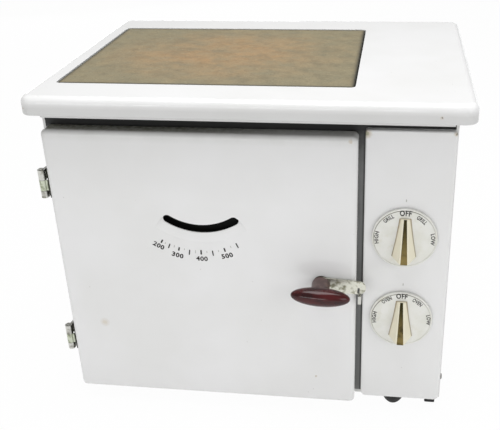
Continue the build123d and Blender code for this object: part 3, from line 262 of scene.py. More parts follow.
def rustyIron(name, look):
    # grey cast iron, ground flat, seasoned to a brown grey and rusted where the heat burnt the oil away
    material, add, shader, place = newMaterial(name)
    broad = add("Mapping", {0: place, "Scale": (1 / 1.4, 1, 1), "Location": (2, 0.4, 0)})
    broad = add("TexNoise", {0: broad, "Scale": 1 / (75 * mm), "Detail": 5, "Roughness": grit})
    broad = add("MapRange", {0: broad, 1: 0.4, 2: 0.62})
    clouds = add("TexNoise", {0: add("Mapping", {0: place, "Scale": (1 / 1.3, 1, 1)}),
                              "Scale": 1 / (20 * mm), "Detail": 5, "Roughness": grit})
    clouds = add("MapRange", {0: clouds, 1: 0.3, 2: 0.7})
    blots = add("TexNoise", {0: add("Mapping", {0: place, "Location": (1, 5, 0)}),
                             "Scale": 1 / (14 * mm), "Detail": 6, "Roughness": grit})
    blots = add("MapRange", {0: blots, 1: 0.44, 2: 0.72, 3: 0, 4: 0.3})
    grain = add("TexNoise", {0: place, "Scale": 1 / (1.8 * mm), "Detail": 4, "Roughness": grit})
    # rust spreads from the middle, where the plate is hottest
    offCentre = add("VectorMath", {0: place, 1: look["centre"]}, operation="SUBTRACT")
    spread = add("VectorMath", {0: offCentre, 1: look["spread"]}, operation="MULTIPLY")
    reach = add("VectorMath", {0: spread}, "Value", operation="LENGTH")
    heart = add("MapRange", {0: reach, 1: 0.3, 2: 1.05, 3: 1, 4: 0})
    rust = add("Math", {0: broad, 1: clouds}, operation="ADD")
    rust = add("MapRange", {0: rust, 1: 0.1, 2: 1.9, 3: 0.1, 4: 0.9})
    rust = add("Math", {0: heart, 1: rust}, operation="MULTIPLY")
    colour = add("Mix", {0: clouds, 6: look["oiled"], 7: look["grey"]}, **rgba)
    colour = add("Mix", {0: rust, 6: colour, 7: look["rust"]}, **rgba)
    colour = add("Mix", {0: blots, 6: colour, 7: look["dark"]}, **rgba)
    pits = add("MapRange", {0: grain, 1: 0.52, 2: 0.72, 3: 0, 4: 0.5})
    colour = add("Mix", {0: pits, 6: colour, 7: look["dark"]}, **rgba)
    pale = add("TexNoise", {0: place, "Scale": 1 / (4 * mm), "Detail": 5, "Roughness": grit})
    pale = add("MapRange", {0: pale, 1: 0.58, 2: 0.76, 3: 0, 4: 0.45})
    colour = add("Mix", {0: pale, 6: colour, 7: look["pale"]}, **rgba)
    # the rim: darkest on the chamfer and fading over the last few millimetres of the face
    fromMiddle = add("VectorMath", {0: offCentre}, operation="ABSOLUTE")
    sides = []
    for axis in (0, 1):
        edge = look["half"][axis]
        sides.append(add("MapRange", {0: add("SeparateXYZ", {0: fromMiddle}, axis),
                                      1: edge - 7 * mm, 2: edge - 0.8 * mm}))
    rim = add("Math", {0: sides[0], 1: sides[1]}, operation="MAXIMUM")
    rim = add("Math", {0: rim, 1: 2.2}, operation="POWER")
    rim = add("Math", {0: rim, 1: 0.9}, operation="MULTIPLY")
    colour = add("Mix", {0: rim, 6: colour, 7: look["edge"]}, **rgba)
    dull = add("MapRange", {0: clouds, 3: 0.48, 4: 0.72})
    height = add("Math", {0: clouds, 1: 0.8}, operation="MULTIPLY")
    height = add("Math", {0: grain, 1: height}, operation="ADD")
    relief = add("Bump", {"Height": height, "Strength": 0.5, "Distance": 0.3 * mm})
    setInputs(shader, {"Base Color": colour, "Roughness": dull, "Normal": relief})
    return material


plateHalf = (plateHigh - plateLow) / 2
plateIron = rustyIron("seasoned cast iron, rusted", {
    "oiled": "#837C62", "grey": "#928669", "rust": "#AE8A60", "dark": "#544A36", "pale": "#B0A484",
    "edge": "#24241C", "centre": (plateLow + plateHigh) / 2, "half": plateHalf,
    "spread": (1 / (0.95 * plateHalf.x), 1 / (0.95 * plateHalf.y), 0),
})


def wornMetal(name, look):
    # plated or bare metal: a tinted mirror dulled by scratches, with tarnish in patches; the scratches
    # are drawn coarser than real ones, so that they show
    material, add, shader, place = newMaterial(name)
    spots = add("TexNoise", {0: place, "Scale": 1 / (look["patch"] * mm), "Detail": 5, "Roughness": grit})
    spots = add("MapRange", {0: spots, 1: look["clean"], 2: look["clean"] + 0.16})
    colour = add("Mix", {0: spots, 6: look["bright"], 7: look["tarnish"]}, **rgba)
    fine = add("Mapping", {0: place, "Scale": [1 / s for s in look["along"]]})
    fine = add("TexNoise", {0: fine, "Scale": 1 / (look["grain"] * mm), "Detail": 3, "Roughness": grit})
    scratched = add("MapRange", {0: fine, 1: 0.35, 2: 0.7, 3: 0, 4: 0.35})
    colour = add("Mix", {0: scratched, 6: colour, 7: look["shade"]}, **rgba)
    if "fade" in look:
        # a tint that is full at one end of an axis and gone at the other
        axis, full, gone, tint, weight = look["fade"]
        fade = add("MapRange", {0: add("SeparateXYZ", {0: place}, axis), 1: full, 2: gone, 3: weight, 4: 0})
        colour = add("Mix", {0: fade, 6: colour, 7: tint}, **rgba)
    dull = add("MapRange", {0: spots, 3: look["roughness"], 4: look["roughness"] + 0.25})
    relief = add("Bump", {"Height": fine, "Strength": look["relief"], "Distance": 0.05 * mm})
    setInputs(shader, {"Base Color": colour, "Metallic": 1, "Roughness": dull, "Normal": relief})
    return material


# patch and grain are sizes in millimetres, clean is the noise level at which tarnish starts, and
# along lengthens the scratches on each axis
metal = {"clean": 0.5, "grain": 0.9, "along": (1, 1, 1)}
nickel = {**metal, "bright": "#D4D4CF", "tarnish": "#8E8C80", "shade": "#ABABA3", "roughness": 0.27,
          "patch": 9, "relief": 0.25}
# a warm white shine under a grey bloom
nickelPlate = wornMetal("worn nickel plate", nickel)
# brighter and yellower, with small brown patches where fingers have worn it
handledNickel = wornMetal("handled nickel plate", {
    **nickel, "bright": "#E0E0D4", "tarnish": "#8B8973", "shade": "#BCBBAA", "roughness": 0.3, "patch": 6})
# the same plate gone a brown grey
tarnishedNickel = wornMetal("tarnished nickel plate", {
    **nickel, "bright": "#77736A", "tarnish": "#4A463C", "shade": "#5C584E", "roughness": 0.42})
# a dull yellow, with scratches that run along the strip
brass = {"bright": "#B9A06A", "tarnish": "#85754C", "shade": "#8E7D52", "roughness": 0.36, "patch": 12,
         "clean": 0.5, "grain": 0.5, "along": (1, 6, 6), "relief": 0.3}
brassStrip = wornMetal("tarnished brass", brass)


def handledBrass(name):
    # the strip let into one knob: darker at its top, brighter towards its foot
    low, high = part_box(name)
    return wornMetal("tarnished brass, " + name, {
        **brass, "bright": "#85754A", "tarnish": "#5F5437", "shade": "#6A5E3E",
        "fade": (2, high.z - 8 * mm, low.z + 4 * mm, "#2F2D1D", 0.9)})


upperStripBrass = handledBrass("upper_knob_strip")
lowerStripBrass = handledBrass("lower_knob_strip")
# nickel under a greenish film of grease, with painted shadow black along the edge that meets the door
grimyNickelWithShadow = wornMetal("grimy nickel plate, painted shadow by the door", {
    **metal, "bright": "#D2D8C6", "tarnish": "#9AA088", "shade": "#B3B89F", "roughness": 0.36,
    "patch": 5, "relief": 0.4, "fade": (0, leafHigh.x - 1.6 * mm, leafHigh.x - 3.4 * mm, "#1D1C14", 0.95)})
# steel browned by heat and handling, with hardly a shine left
brownedSteel = wornMetal("browned steel", {
    **metal, "bright": "#4A3F30", "tarnish": "#2B241A", "shade": "#352D22", "roughness": 0.5,
    "patch": 5, "clean": 0.46, "grain": 0.8, "relief": 0.4})
# a cool grey shine with a yellow brown bloom
zincSteel = wornMetal("zinc-plated steel", {
    **metal, "bright": "#BDB9AC", "tarnish": "#8F8166", "shade": "#9C988C", "roughness": 0.38,
    "patch": 6, "clean": 0.54, "grain": 0.8, "relief": 0.3})
# bright wire, browned in patches by baked fat
plateWire = wornMetal("plated shelf wire", {
    **metal, "bright": "#C6C3B9", "tarnish": "#5E4C36", "shade": "#8F8A7C", "roughness": 0.3,
    "patch": 14, "clean": 0.56, "grain": 1.2, "relief": 0.25})
# a sheath that has glowed: dark grey scale with rusty patches
oxideSheath = wornMetal("oxidised element sheath", {
    **metal, "bright": "#5A504A", "tarnish": "#7A4A33", "shade": "#38322F", "roughness": 0.58,
    "patch": 18, "grain": 0.7, "relief": 0.5})


def spangledZinc(name):
    # hot-dip galvanised sheet: zinc crystals 10 to 20 mm across, each catching the light its own way
    material, add, shader, place = newMaterial(name)
    crystals = add("TexVoronoi", {0: place, "Scale": 1 / (14 * mm)}, "Color")
    tone = add("SeparateColor", {0: crystals})
    colour = add("Mix", {0: tone, 6: "#9EA3A5", 7: "#C2C6C7"}, **rgba)
    bloom = add("TexNoise", {0: place, "Scale": 1 / (60 * mm), "Detail": 4, "Roughness": grit})
    bloom = add("MapRange", {0: bloom, 1: 0.52, 2: 0.7, 3: 0, 4: 0.6})
    colour = add("Mix", {0: bloom, 6: colour, 7: "#8C8A80"}, **rgba)
    dull = add("MapRange", {0: tone, 3: 0.34, 4: 0.52})
    skin = add("TexNoise", {0: place, "Scale": 1 / (1.4 * mm), "Detail": 3, "Roughness": grit})
    relief = add("Bump", {"Height": skin, "Strength": 0.2, "Distance": 0.05 * mm})
    setInputs(shader, {"Base Color": colour, "Metallic": 1, "Roughness": dull, "Normal": relief})
    return material


zincSheet = spangledZinc("galvanised sheet steel")


def knobGrimeAndShade(add, place, colour, face):
    # the grip stands on a cone: its flanks are cream, yellowed with handling and painted lighter, as if lit,
    # and its foot holds a brown line of dirt and painted shade
    level = add("VectorMath", {0: place, 1: (1, 0, 1)}, operation="MULTIPLY")
    away = add("VectorMath", {0: level, 1: face["centre"]}, "Value", operation="DISTANCE")
    cone = add("MapRange", {0: away, 2: face["radius"], 3: face["rim"] - face["dome"], 4: face["rim"]})
    rise = add("Math", {0: cone, 1: add("SeparateXYZ", {0: place}, 1)}, operation="SUBTRACT")
    flank = add("MapRange", {0: rise, 1: 0.3 * mm, 2: 1.6 * mm, 3: 0, 4: 0.9})
    colour = add("Mix", {0: flank, 6: colour, 7: face["flank"]}, **rgba)
    foot = add("MapRange", {0: rise, 1: 0.08 * mm, 2: 0.3 * mm})
    above = add("MapRange", {0: rise, 1: 1.1 * mm, 2: 2.7 * mm, 3: 0.85, 4: 0})
    foot = add("Math", {0: foot, 1: above}, operation="MULTIPLY")
    colour = add("Mix", {0: foot, 6: colour, 7: face["footDirtAndShade"]}, **rgba)
    # dirt and painted shade in the groove near the rim, most of it on the upper left
    off = add("Math", {0: away, 1: face["groove"]}, operation="SUBTRACT")
    off = add("Math", {0: off}, operation="ABSOLUTE")
    groove = add("MapRange", {0: off, 1: 0.25 * mm, 2: 0.55 * mm, 3: 1, 4: 0})
    offset = add("VectorMath", {0: level, 1: face["centre"]}, operation="SUBTRACT")
    side = add("VectorMath", {0: offset, 1: (-0.45, 0, 0.9)}, "Value", operation="DOT_PRODUCT")
    hold = add("MapRange", {0: side, 1: -0.3 * face["radius"], 2: 0.8 * face["radius"], 3: 0.05, 4: 0.95})
    ring = add("Math", {0: groove, 1: hold}, operation="MULTIPLY")
    return add("Mix", {0: ring, 6: colour, 7: face["ring"]}, **rgba)


def moulded(name, look):
    # moulded, painted and woven pieces: a faintly mottled body with worn or stained patches
    material, add, shader, place = newMaterial(name)
    mottle = add("Mapping", {0: place, "Scale": [1 / s for s in look.get("along", (1, 1, 1))]})
    mottle = add("TexNoise", {0: mottle, "Scale": 1 / (look["mottle"] * mm), "Detail": 4, "Roughness": grit})
    mottle = add("MapRange", {0: mottle, 1: 0.38, 2: 0.64})
    colour = add("Mix", {0: mottle, 6: look["body"], 7: look["shade"]}, **rgba)
    wear = add("TexNoise", {0: add("Mapping", {0: place, "Location": (2, 2, 2)}),
                            "Scale": 1 / (look["wearSize"] * mm), "Detail": 5, "Roughness": grit})
    wear = add("MapRange", {0: wear, 1: 0.56, 2: 0.72, 3: 0, 4: look["wear"]})
    colour = add("Mix", {0: wear, 6: colour, 7: look["worn"]}, **rgba)
    if "face" in look:
        colour = knobGrimeAndShade(add, place, colour, look["face"])
    dull = add("MapRange", {0: wear, 2: look["wear"], 3: look["roughness"], 4: look["roughness"] + 0.2})
    skin = add("TexNoise", {0: place, "Scale": 1 / (0.8 * mm), "Detail": 3, "Roughness": grit})
    relief = add("Bump", {"Height": skin, "Strength": look["relief"], "Distance": 0.04 * mm})
    setInputs(shader, {"Base Color": colour, "Roughness": dull, "IOR": look["ior"], "Normal": relief})
    return material


# in each of these, mottle and wearSize are sizes in millimetres, and wear is the most of the worn
# colour that shows

# a deep brown red with a high polish, its mottles drawn out along the grip
maroonResin = moulded("polished maroon phenolic", {
    "body": "#4E1416", "shade": "#2C0A0B", "worn": "#6A2E28", "roughness": 0.12, "ior": 1.45,
    "mottle": 9, "along": (2.5, 1, 1), "wearSize": 7, "wear": 0.2, "relief": 0.12})
# the same resin where the polish has gone: dull and greyed
stemResin = moulded("weathered maroon phenolic", {
    "body": "#5E4541", "shade": "#443331", "worn": "#83706A", "roughness": 0.38, "ior": 1.6,
    "mottle": 6, "wearSize": 5, "wear": 0.5, "relief": 0.3})
# black with a soft shine
blackResin = moulded("black phenolic", {
    "body": "#191817", "shade": "#100F0F", "worn": "#33302D", "roughness": 0.32, "ior": 1.6,
    "mottle": 5, "wearSize": 9, "wear": 0.35, "relief": 0.2})
# a flat black: painted shade that makes the slot look deep
mattBlack = moulded("matt black, painted shade in the slot", {
    "body": "#0D0D0B", "shade": "#080807", "worn": "#1E1C15", "roughness": 0.75, "ior": 1.5,
    "mottle": 8, "wearSize": 12, "wear": 0.5, "relief": 0.4})


def knobResin(name):
    # cream urea plastic, whiter on the skirt, which the hand leaves alone; the grip's flanks are also painted
    # lighter
    low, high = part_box(name)
    rim = high.y - knobFace["rim"] * mm
    return moulded("moulded cream urea plastic, " + name, {
        "body": "#EBEBE6", "shade": "#E4E4DC", "worn": "#D8D3C0", "roughness": 0.28, "ior": 1.55,
        "mottle": 14, "wearSize": 10, "wear": 0.35, "relief": 0.1,
        "face": {"centre": ((low.x + high.x) / 2, 0, (low.z + high.z) / 2), "rim": rim,
                 "radius": knobFace["radius"] * mm, "dome": knobFace["dome"] * mm,
                 "groove": (high.x - low.x) / 2 - knobFace["groove"] * mm,
                 "flank": "#F3ECD2", "footDirtAndShade": "#8A744C", "ring": "#77725F"}})


upperKnobResin = knobResin("upper_knob")
lowerKnobResin = knobResin("lower_knob")
# dull black, grey where it is scuffed
footRubber = moulded("moulded black rubber", {
    "body": "#1B1B1B", "shade": "#121212", "worn": "#3B3935", "roughness": 0.72, "ior": 1.52,
    "mottle": 4, "wearSize": 6, "wear": 0.6, "relief": 0.6})
# chalky cream with brown scorch marks
steatite = moulded("unglazed steatite ceramic", {
    "body": "#D9D2BF", "shade": "#C9C0A8", "worn": "#8A7A60", "roughness": 0.78, "ior": 1.55,
    "mottle": 7, "wearSize": 16, "wear": 0.6, "relief": 0.5})
# woven sleeving: straw coloured and quite dull, its weave drawn as fine mottles
sleeveWire = moulded("sleeved heat-proof wire", {
    "body": "#BDB39B", "shade": "#A69B82", "worn": "#7C715C", "roughness": 0.8, "ior": 1.45,
    "mottle": 2, "wearSize": 12, "wear": 0.4, "relief": 0.8})
# a warm red with a slight shine
redLacquer = moulded("red lacquer", {
    "body": "#A32A1E", "shade": "#8E2218", "worn": "#B5564A", "roughness": 0.35, "ior": 1.5,
    "mottle": 5, "wearSize": 5, "wear": 0.2, "relief": 0.1})
# matted yellow brown fibres, drawn as streaks coarser than the real ones
woolSlab = moulded("mineral wool slab", {
    "body": "#A39468", "shade": "#85774F", "worn": "#BFB187", "roughness": 0.95, "ior": 1.4,
    "mottle": 3, "along": (4, 1, 1), "wearSize": 8, "wear": 0.6, "relief": 1.0})
# a pale dull braid, its weave drawn as fine mottles
glassSeal = moulded("woven glass-fibre seal", {
    "body": "#B5AD98", "shade": "#8F876F", "worn": "#6B5F48", "roughness": 0.9, "ior": 1.45,
    "mottle": 1.6, "wearSize": 20, "wear": 0.6, "relief": 1.0})
# nearly black, fired into the enamel
inkFired = moulded("dark brown legend ink", {
    "body": "#151210", "shade": "#1D1916", "worn": "#3A342D", "roughness": 0.5, "ior": 1.45,
    "mottle": 1.5, "wearSize": 2, "wear": 0.3, "relief": 0.1})
# the same ink worn to a pale grey
inkFaint = moulded("faded legend ink", {
    "body": "#B4B4AF", "shade": "#C0C0BB", "worn": "#CFCFCB", "roughness": 0.4, "ior": 1.5,
    "mottle": 1.5, "wearSize": 2, "wear": 0.4, "relief": 0.1})
print("materials made:", len(bpy.data.materials))

finishes = {
    hobEnamel: ["hob_top"], doorEnamel: ["door_shell"], panelEnamel: ["control_panel"],
    sideEnamel: ["left_side_panel", "right_side_panel"], frameEnamel: ["front_frame"],
    liningEnamel: ["oven_liner", "door_inner_panel"], plateIron: ["boiling_plate"],
    nickelPlate: ["hinge_casing_leaves", "hinge_pins", "hinge_casing_screws", "hinge_door_screws",
                  "latch_keeper"],
    tarnishedNickel: ["casing_screws"], handledNickel: ["latch_arm"],
    grimyNickelWithShadow: ["hinge_door_leaves"], brownedSteel: ["latch_bush"],
    upperStripBrass: ["upper_knob_strip"], lowerStripBrass: ["lower_knob_strip"],
    brassStrip: ["switch_tabs", "terminal_screws", "earth_stud", "thermometer_bush", "bimetal_coil",
                 "thermometer_spindle"],
    zincSteel: ["switch_nuts", "upper_switch_shaft", "lower_switch_shaft", "foot_nuts", "back_screws",
                "latch_spindle"],
    plateWire: ["left_shelf_rack", "right_shelf_rack", "lower_shelf", "upper_shelf"],
    oxideSheath: ["grill_element", "side_elements"],
    zincSheet: ["back_panel", "base_panel", "partition"], mattBlack: ["thermometer_housing"],
    maroonResin: ["handle_grip"], stemResin: ["handle_stem"],
    blackResin: ["upper_switch", "lower_switch", "terminal_block", "cable_gland"],
    upperKnobResin: ["upper_knob"], lowerKnobResin: ["lower_knob"],
    footRubber: ["corner_feet", "domed_feet"],
    steatite: ["element_bars", "grill_bushes", "element_bushes"], sleeveWire: ["wiring"],
    redLacquer: ["thermometer_pointer"], woolSlab: ["oven_insulation", "door_insulation"],
    glassSeal: ["door_seal"],
}
for material, names in finishes.items():
    for name in names:
        nodes[name].data.materials.clear()
        nodes[name].data.materials.append(material)
print("finishes set on", sum(len(names) for names in finishes.values()), "nodes")


# Modelling helpers

def pick(piece, kind, test):
    # selects edges or faces in edit mode, by their place or normal
    bpy.ops.mesh.select_mode(type=kind)
    bpy.ops.mesh.select_all(action="DESELECT")
    grid = bmesh.from_edit_mesh(piece.data)
    for item in {"EDGE": grid.edges, "FACE": grid.faces}[kind]:
        item.select_set(bool(test(item)))
    bmesh.update_edit_mesh(piece.data)


def edit(on):
    bpy.ops.object.mode_set(mode="EDIT" if on else "OBJECT")


def applied(piece, kind, **settings):
    modifier = piece.modifiers.new(kind.lower(), kind)
    for name, value in settings.items():
        setattr(modifier, name, value)
    bpy.ops.object.select_all(action="DESELECT")
    piece.select_set(True)
    bpy.context.view_layer.objects.active = piece
    bpy.ops.object.modifier_apply(modifier=modifier.name)


def finished(piece, name, material, body, replaced=()):
    # names a piece, gives it its finish, and hangs it on the body that it moves with
    piece.name = name
    piece.data.materials.clear()
    piece.data.materials.append(material)
    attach(piece, body)
    if replaced:
        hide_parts(*replaced)
    piece.select_set(False)


def joined(pieces):
    bpy.ops.object.select_all(action="DESELECT")
    for piece in pieces:
        piece.select_set(True)
    bpy.context.view_layer.objects.active = pieces[0]
    if len(pieces) > 1:
        bpy.ops.object.join()
    return bpy.context.object


def copiedTo(pattern, places):
    # copies of one pattern, each with its own mesh, moved by a matrix; the pattern itself goes
    copies = []
    for place in places:
        copy = pattern.copy()
        copy.data = pattern.data.copy()
        copy.data.transform(place)
        bpy.context.scene.collection.objects.link(copy)
        copies.append(copy)
    bpy.data.objects.remove(pattern)
    return joined(copies)


def solidBoxes(name):
    # the lowest and highest corner of each separate solid in a CAD node
    grid = bmesh.new()
    grid.from_mesh(nodes[name].data)
    bmesh.ops.remove_doubles(grid, verts=grid.verts, dist=0.01 * mm)
    boxes, seen = [], set()
    for start in grid.verts:
        if start in seen:
            continue
        group, queue = [], [start]
        seen.add(start)
        while queue:
            vert = queue.pop()
            group.append(vert.co.copy())
            for edge in vert.link_edges:
                other = edge.other_vert(vert)
                if other not in seen:
                    seen.add(other)
                    queue.append(other)
        boxes.append((Vector([min(c[i] for c in group) for i in range(3)]),
                      Vector([max(c[i] for c in group) for i in range(3)])))
    grid.free()
    return boxes


# Slotted screws, in place of the plain ones; sizes are in millimetres and angles in degrees

# slotWidth is for a head of forRadius, and a smaller head has its slot in proportion; reach is a
# share of the head's radius, slotDepth and round are shares of its height
screw = {"sides": 28, "slotWidth": 0.85, "forRadius": 3.8, "reach": 2.2, "slotDepth": 0.5, "round": 0.75,
         "firstTurn": 37, "nextTurn": 61}


def addScrew(headRadius, head, shank, length):
    # stands on its shank at the origin, with its seat at zero and its head upwards
    bpy.ops.mesh.primitive_cylinder_add(vertices=screw["sides"], radius=headRadius * mm, depth=head * mm,
                                        location=(0, 0, head / 2 * mm))
    piece = bpy.context.object
    bpy.ops.object.transform_apply(location=True, rotation=True, scale=True)
    edit(True)
    pick(piece, "FACE", lambda face: face.normal.z < -0.9)
    bpy.ops.mesh.inset(thickness=(headRadius - shank) * mm)
    bpy.ops.mesh.extrude_region_move(TRANSFORM_OT_translate={"value": (0, 0, -length * mm)})
    top = (head - 0.01) * mm
    pick(piece, "EDGE", lambda edge: all(v.co.z > top for v in edge.verts))
    bpy.ops.mesh.bevel(offset=screw["round"] * head * mm, segments=5, profile=0.55)
    bpy.ops.mesh.select_all(action="SELECT")
    bpy.ops.mesh.normals_make_consistent(inside=False)
    edit(False)
    bpy.ops.mesh.primitive_cube_add(size=1, location=(0, 0, head * mm))
    cutter = bpy.context.object
    cutter.scale = (screw["reach"] * headRadius * mm,
                    screw["slotWidth"] * headRadius / screw["forRadius"] * mm,
                    2 * screw["slotDepth"] * head * mm)
    applied(piece, "BOOLEAN", operation="DIFFERENCE", object=cutter, solver="EXACT")
    bpy.data.objects.remove(cutter)
    bpy.ops.object.shade_smooth_by_angle(angle=math.radians(38))
    return piece


def screwPlaces(name, head):
    # a seat and a direction for each screw of a CAD node; each slot stands at its own angle
    places = []
    for number, (low, high) in enumerate(solidBoxes(name)):
        at = (low + high) / 2
        if high.x - low.x > high.y - low.y:
            outward = Vector((-1, 0, 0)) if head["side"] == "left" or at.x < 0 else Vector((1, 0, 0))
            at.x = low.x + head["rise"] * mm if outward.x < 0 else high.x - head["rise"] * mm
        else:
            outward = Vector((0, 1, 0))
            at.y = high.y - head["rise"] * mm
        twist = Matrix.Rotation(math.radians(screw["firstTurn"] + screw["nextTurn"] * number), 4, "Z")
        places.append(Matrix.Translation(at) @ outward.to_track_quat("Z", "Y").to_matrix().to_4x4() @ twist)
    return places


panHead = {"radius": 3.8, "rise": 2.2, "shank": 2.0, "body": "casing"}
smallHead = {"radius": 2.8, "rise": 1.0, "shank": 1.5, "length": 5.0, "side": "left", "slot": "nickel"}
screwSets = {
    "casingScrews": {**panHead, "node": "casing_screws", "length": 4.8, "side": "both", "slot": "nickel"},
    "backScrews": {**panHead, "node": "back_screws", "length": 7.0, "side": "back", "slot": "zinc_steel"},
    "hingeCasingScrews": {**smallHead, "node": "hinge_casing_screws", "body": "casing"},
    "hingeDoorScrews": {**smallHead, "node": "hinge_door_screws", "body": "door"},
}
for name, look in screwSets.items():
    pattern = addScrew(look["radius"], look["rise"], look["shank"], look["length"])
    places = screwPlaces(look["node"], look)
    material = nodes[look["node"]].data.materials[0]
    finished(copiedTo(pattern, places), name, material, look["body"], [look["node"]])
print("screws made:", len(screwSets), "sets")


# Legends and dial marks, fired on as thin ink

ink = {"rise": 0.05, "sink": 0.04, "boldNumber": 0.035, "boldWord": 0.03}


def addWord(letters, length, height, bold):
    # flat lettering about the origin, fitted to a length and height in millimetres
    bpy.ops.object.text_add()
    piece = bpy.context.object
    piece.data.body = letters
    piece.data.offset = bold
    piece.data.align_x = "CENTER"
    piece.data.resolution_u = 3
    piece.data.space_character = 1.1
    bpy.ops.object.convert(target="MESH")
    piece = bpy.context.object
    edit(True)
    bpy.ops.mesh.select_all(action="SELECT")
    bpy.ops.mesh.remove_doubles(threshold=0.0005)
    bpy.ops.mesh.extrude_region_move(TRANSFORM_OT_translate={"value": (0, 0, 1)})
    bpy.ops.mesh.select_all(action="SELECT")
    bpy.ops.mesh.normals_make_consistent(inside=False)
    edit(False)
    corners = [v.co for v in piece.data.vertices]
    low = Vector([min(c[i] for c in corners) for i in range(3)])
    high = Vector([max(c[i] for c in corners) for i in range(3)])
    size = high - low
    piece.data.transform(Matrix.Diagonal((length / size.x, height / size.y, 1, 1))
                         @ Matrix.Translation((-(low.x + high.x) / 2, -(low.y + high.y) / 2, 0)))
    return piece


def addTick(width, length):
    bpy.ops.mesh.primitive_cube_add(size=1, location=(0, 0, 0.5))
    piece = bpy.context.object
    bpy.ops.object.transform_apply(location=True, rotation=True, scale=True)
    edit(True)
    pick(piece, "EDGE", lambda edge: abs(edge.verts[0].co.z - edge.verts[1].co.z) > 0.5)
    bpy.ops.mesh.bevel(offset=0.2, segments=3)
    edit(False)
    piece.data.transform(Matrix.Diagonal((width, length, 1, 1)))
    return piece


def roundTheDial(piece, centre, radius, angle, outward, face):
    # bends flat lettering on to a circle in a face that looks forward; face gives y at a radius
    # angle is in degrees clockwise from the top as seen from the front
    for vert in piece.data.vertices:
        across, up, depth = vert.co
        reach = radius + (up if outward else -up)
        turn = math.radians(angle) + (across if outward else -across) / radius
        y = face(reach) - (ink["rise"] if depth > 0.5 else -ink["sink"])
        vert.co = Vector((centre[0] + reach * math.sin(turn), y, centre[1] + reach * math.cos(turn))) * mm
    return piece


dial = {
    "centre": (-52.8, 318.9), "numberHeight": 6.0, "numberLength": 13.4,
    # for each number: angle and radius; for each mark: angle, inner and outer radius
    "numbers": {"200": (-28.34, 105.6), "300": (-15.63, 108.2), "400": (-0.74, 107.5), "500": (15.26, 106.0)},
    "hundreds": ((-27.75, 96.4, 101.0), (-15.68, 97.6, 102.2), (-1.02, 96.4, 102.2), (14.97, 95.8, 100.7)),
    "fifties": ((-22.23, 97.2, 103.5), (-8.65, 97.8, 104.4), (6.67, 97.1, 103.8), (24.18, 94.1, 100.6)),
    "quarters": ((-25.2, 97.8, 100.1), (-19.01, 96.8, 100.1), (-12.19, 97.4, 99.7), (-4.74, 97.4, 101.2),
                 (2.84, 97.5, 100.0), (10.71, 97.1, 99.7), (19.7, 95.2, 98.0)),
    "widths": {"hundreds": 1.8, "fifties": 1.4, "quarters": 0.9},
}


def addDialMarks():
    front = doorLow.y / mm
    marks, faints = [], []
    for kind, width in dial["widths"].items():
        for angle, inner, outer in dial[kind]:
            tick = addTick(width, outer - inner)
            roundTheDial(tick, dial["centre"], (inner + outer) / 2, 180 - angle, False, lambda reach: front)
            (faints if kind == "quarters" else marks).append(tick)
    for letters, (angle, radius) in dial["numbers"].items():
        word = addWord(letters, dial["numberLength"], dial["numberHeight"], ink["boldNumber"])
        roundTheDial(word, dial["centre"], radius, 180 - angle, False, lambda reach: front)
        marks.append(word)
    finished(joined(marks), "dialMarks", inkFired, "door")
    finished(joined(faints), "dialFineMarks", inkFaint, "door")


def addKnobLegends():
    for name, body in (("upper", "upper_control"), ("lower", "lower_control")):
        low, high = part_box(name + "_knob")
        centre = ((low.x + high.x) / 2 / mm, (low.z + high.z) / 2 / mm)
        rimFace = high.y / mm - knobFace["rim"]

        def face(reach):
            return rimFace - knobFace["dome"] * (1 - reach / knobFace["radius"])

        words = []
        for letters, places in knobFace[name].items():
            for angle, radius, length, height in places:
                word = addWord(letters, length, height, ink["boldWord"])
                words.append(roundTheDial(word, centre, radius, angle, True, face))
        finished(joined(words), name + "KnobLegend", inkFired, body)


indexMarks = {"at": ((170.8, 285.4), (171.4, 181.2)), "size": (1.2, 3.0)}


def addIndexMarks():
    marks = []
    for x, z in indexMarks["at"]:
        mark = addTick(*indexMarks["size"])
        for vert in mark.data.vertices:
            across, up, depth = vert.co
            y = panelLow.y / mm - (ink["rise"] if depth > 0.5 else -ink["sink"])
            vert.co = Vector((x + across, y, z + up)) * mm
        marks.append(mark)
    finished(joined(marks), "indexMarks", inkFaint, "casing")


addDialMarks()
addKnobLegends()
addIndexMarks()
print("legends made")


# Floor, lights and camera

studio = {"floorSize": 30, "floor": "#F8F8F8", "white": "#FFFFFF", "floorGlow": 0.97, "worldLight": 0.4}


def addFloor():
    # a pale floor, all but white to the camera and quite white in mirrors
    bpy.ops.mesh.primitive_plane_add(size=studio["floorSize"])
    floor = bpy.context.object
    floor.name = "floor"
    material, add, shader = newMaterial("pale floor")[:3]
    setInputs(shader, {"Base Color": studio["floor"], "Roughness": 0.9})
    mirrored = add("Math", {0: add("LightPath", {}, "Is Glossy Ray"),
                            1: add("LightPath", {}, "Is Transmission Ray")}, operation="MAXIMUM")
    direct = add("Math", {0: add("LightPath", {}, "Is Camera Ray"), 1: studio["floorGlow"]},
                 operation="MULTIPLY")
    share = add("Math", {0: mirrored, 1: direct}, operation="MAXIMUM")
    glow = add("Emission", {"Color": studio["white"], "Strength": 1})
    mixed = add("MixShader", {0: share, 1: shader.outputs[0], 2: glow})
    setInputs(material.node_tree.nodes["Material Output"], {"Surface": mixed})
    floor.data.materials.append(material)


def addWorld():
    # white to the camera, and a dimmer white as light and in mirrors
    world = bpy.data.worlds.new("studio")
    bpy.context.scene.world = world
    world.use_nodes = True
    add = partial(addNode, world.node_tree)
    dim = world.node_tree.nodes["Background"]
    setInputs(dim, {"Color": studio["white"], "Strength": studio["worldLight"]})
    bright = add("Background", {"Color": studio["white"], "Strength": 1})
    share = add("Math", {0: add("LightPath", {}, "Is Camera Ray"),
                         1: add("LightPath", {}, "Is Transmission Ray")}, operation="MAXIMUM")
    mixed = add("MixShader", {0: share, 1: dim.outputs[0], 2: bright})
    setInputs(world.node_tree.nodes["World Output"], {"Surface": mixed})


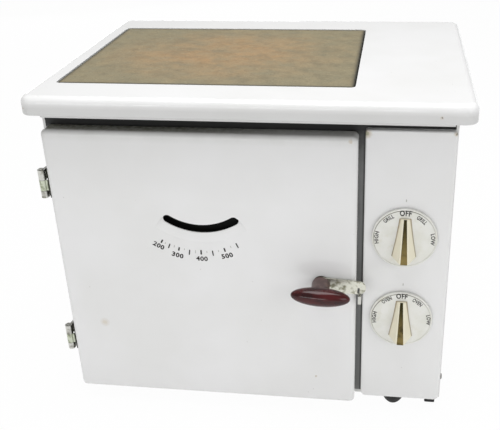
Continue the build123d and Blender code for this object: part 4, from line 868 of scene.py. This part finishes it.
# for each lamp: its size, its power, where it stands and the point that it faces
lamps = {
    "top softbox": ((1.6, 1.2), 25.0, (0.1, -0.1, 1.9), (0, 0, 0.3)),
    "right softbox": ((1.2, 0.9), 6.5, (1.7, -1.4, 0.9), (0.05, -0.1, 0.2)),
    "low strip softbox": ((1.5, 0.16), 4.6, (-0.45, -2.0, 0.5), (0, -0.1, 0.25)),
    "rear softbox": ((1.4, 0.5), 3.5, (-0.9, 2.2, 0.4), (0, 0.1, 0.2)),
}


def addLamps():
    for name, (size, power, at, aim) in lamps.items():
        bpy.ops.object.light_add(type="AREA", location=at)
        lamp = bpy.context.object
        lamp.name = name
        lamp.data.shape = "RECTANGLE"
        lamp.data.size, lamp.data.size_y = size
        lamp.data.energy = power
        lamp.rotation_euler = (Vector(aim) - Vector(at)).to_track_quat("-Z", "Y").to_euler()


# The photo's camera: its place in metres, its angles in degrees, and its focal length, middle and
# picture size in pixels of the photo
view = {"at": (0.15417, -0.90819, 0.64711), "yaw": -8.09, "pitch": 26.29, "roll": -1.48,
        "focal": 785.28, "across": 290.36, "down": 212.8, "width": 500, "height": 430, "sensor": 36}


def addCamera():
    bpy.ops.object.camera_add(location=view["at"])
    camera = bpy.context.object
    camera.name = "camera"
    camera.data.sensor_fit = "HORIZONTAL"
    camera.data.sensor_width = view["sensor"]
    camera.data.lens = view["focal"] / view["width"] * view["sensor"]
    camera.data.shift_x = (view["width"] / 2 - view["across"]) / view["width"]
    camera.data.shift_y = (view["down"] - view["height"] / 2) / view["width"]
    camera.data.clip_start = 0.02
    turn = Matrix.Rotation(math.radians(-view["yaw"]), 4, "Z")
    tilt = Matrix.Rotation(math.radians(90 - view["pitch"]), 4, "X")
    roll = Matrix.Rotation(math.radians(view["roll"]), 4, "Z")
    camera.matrix_world = Matrix.Translation(view["at"]) @ turn @ tilt @ roll
    bpy.context.scene.camera = camera


addFloor()
addWorld()
addLamps()
addCamera()
bpy.context.scene.view_settings.view_transform = "Standard"
print("floor, lights and camera placed")
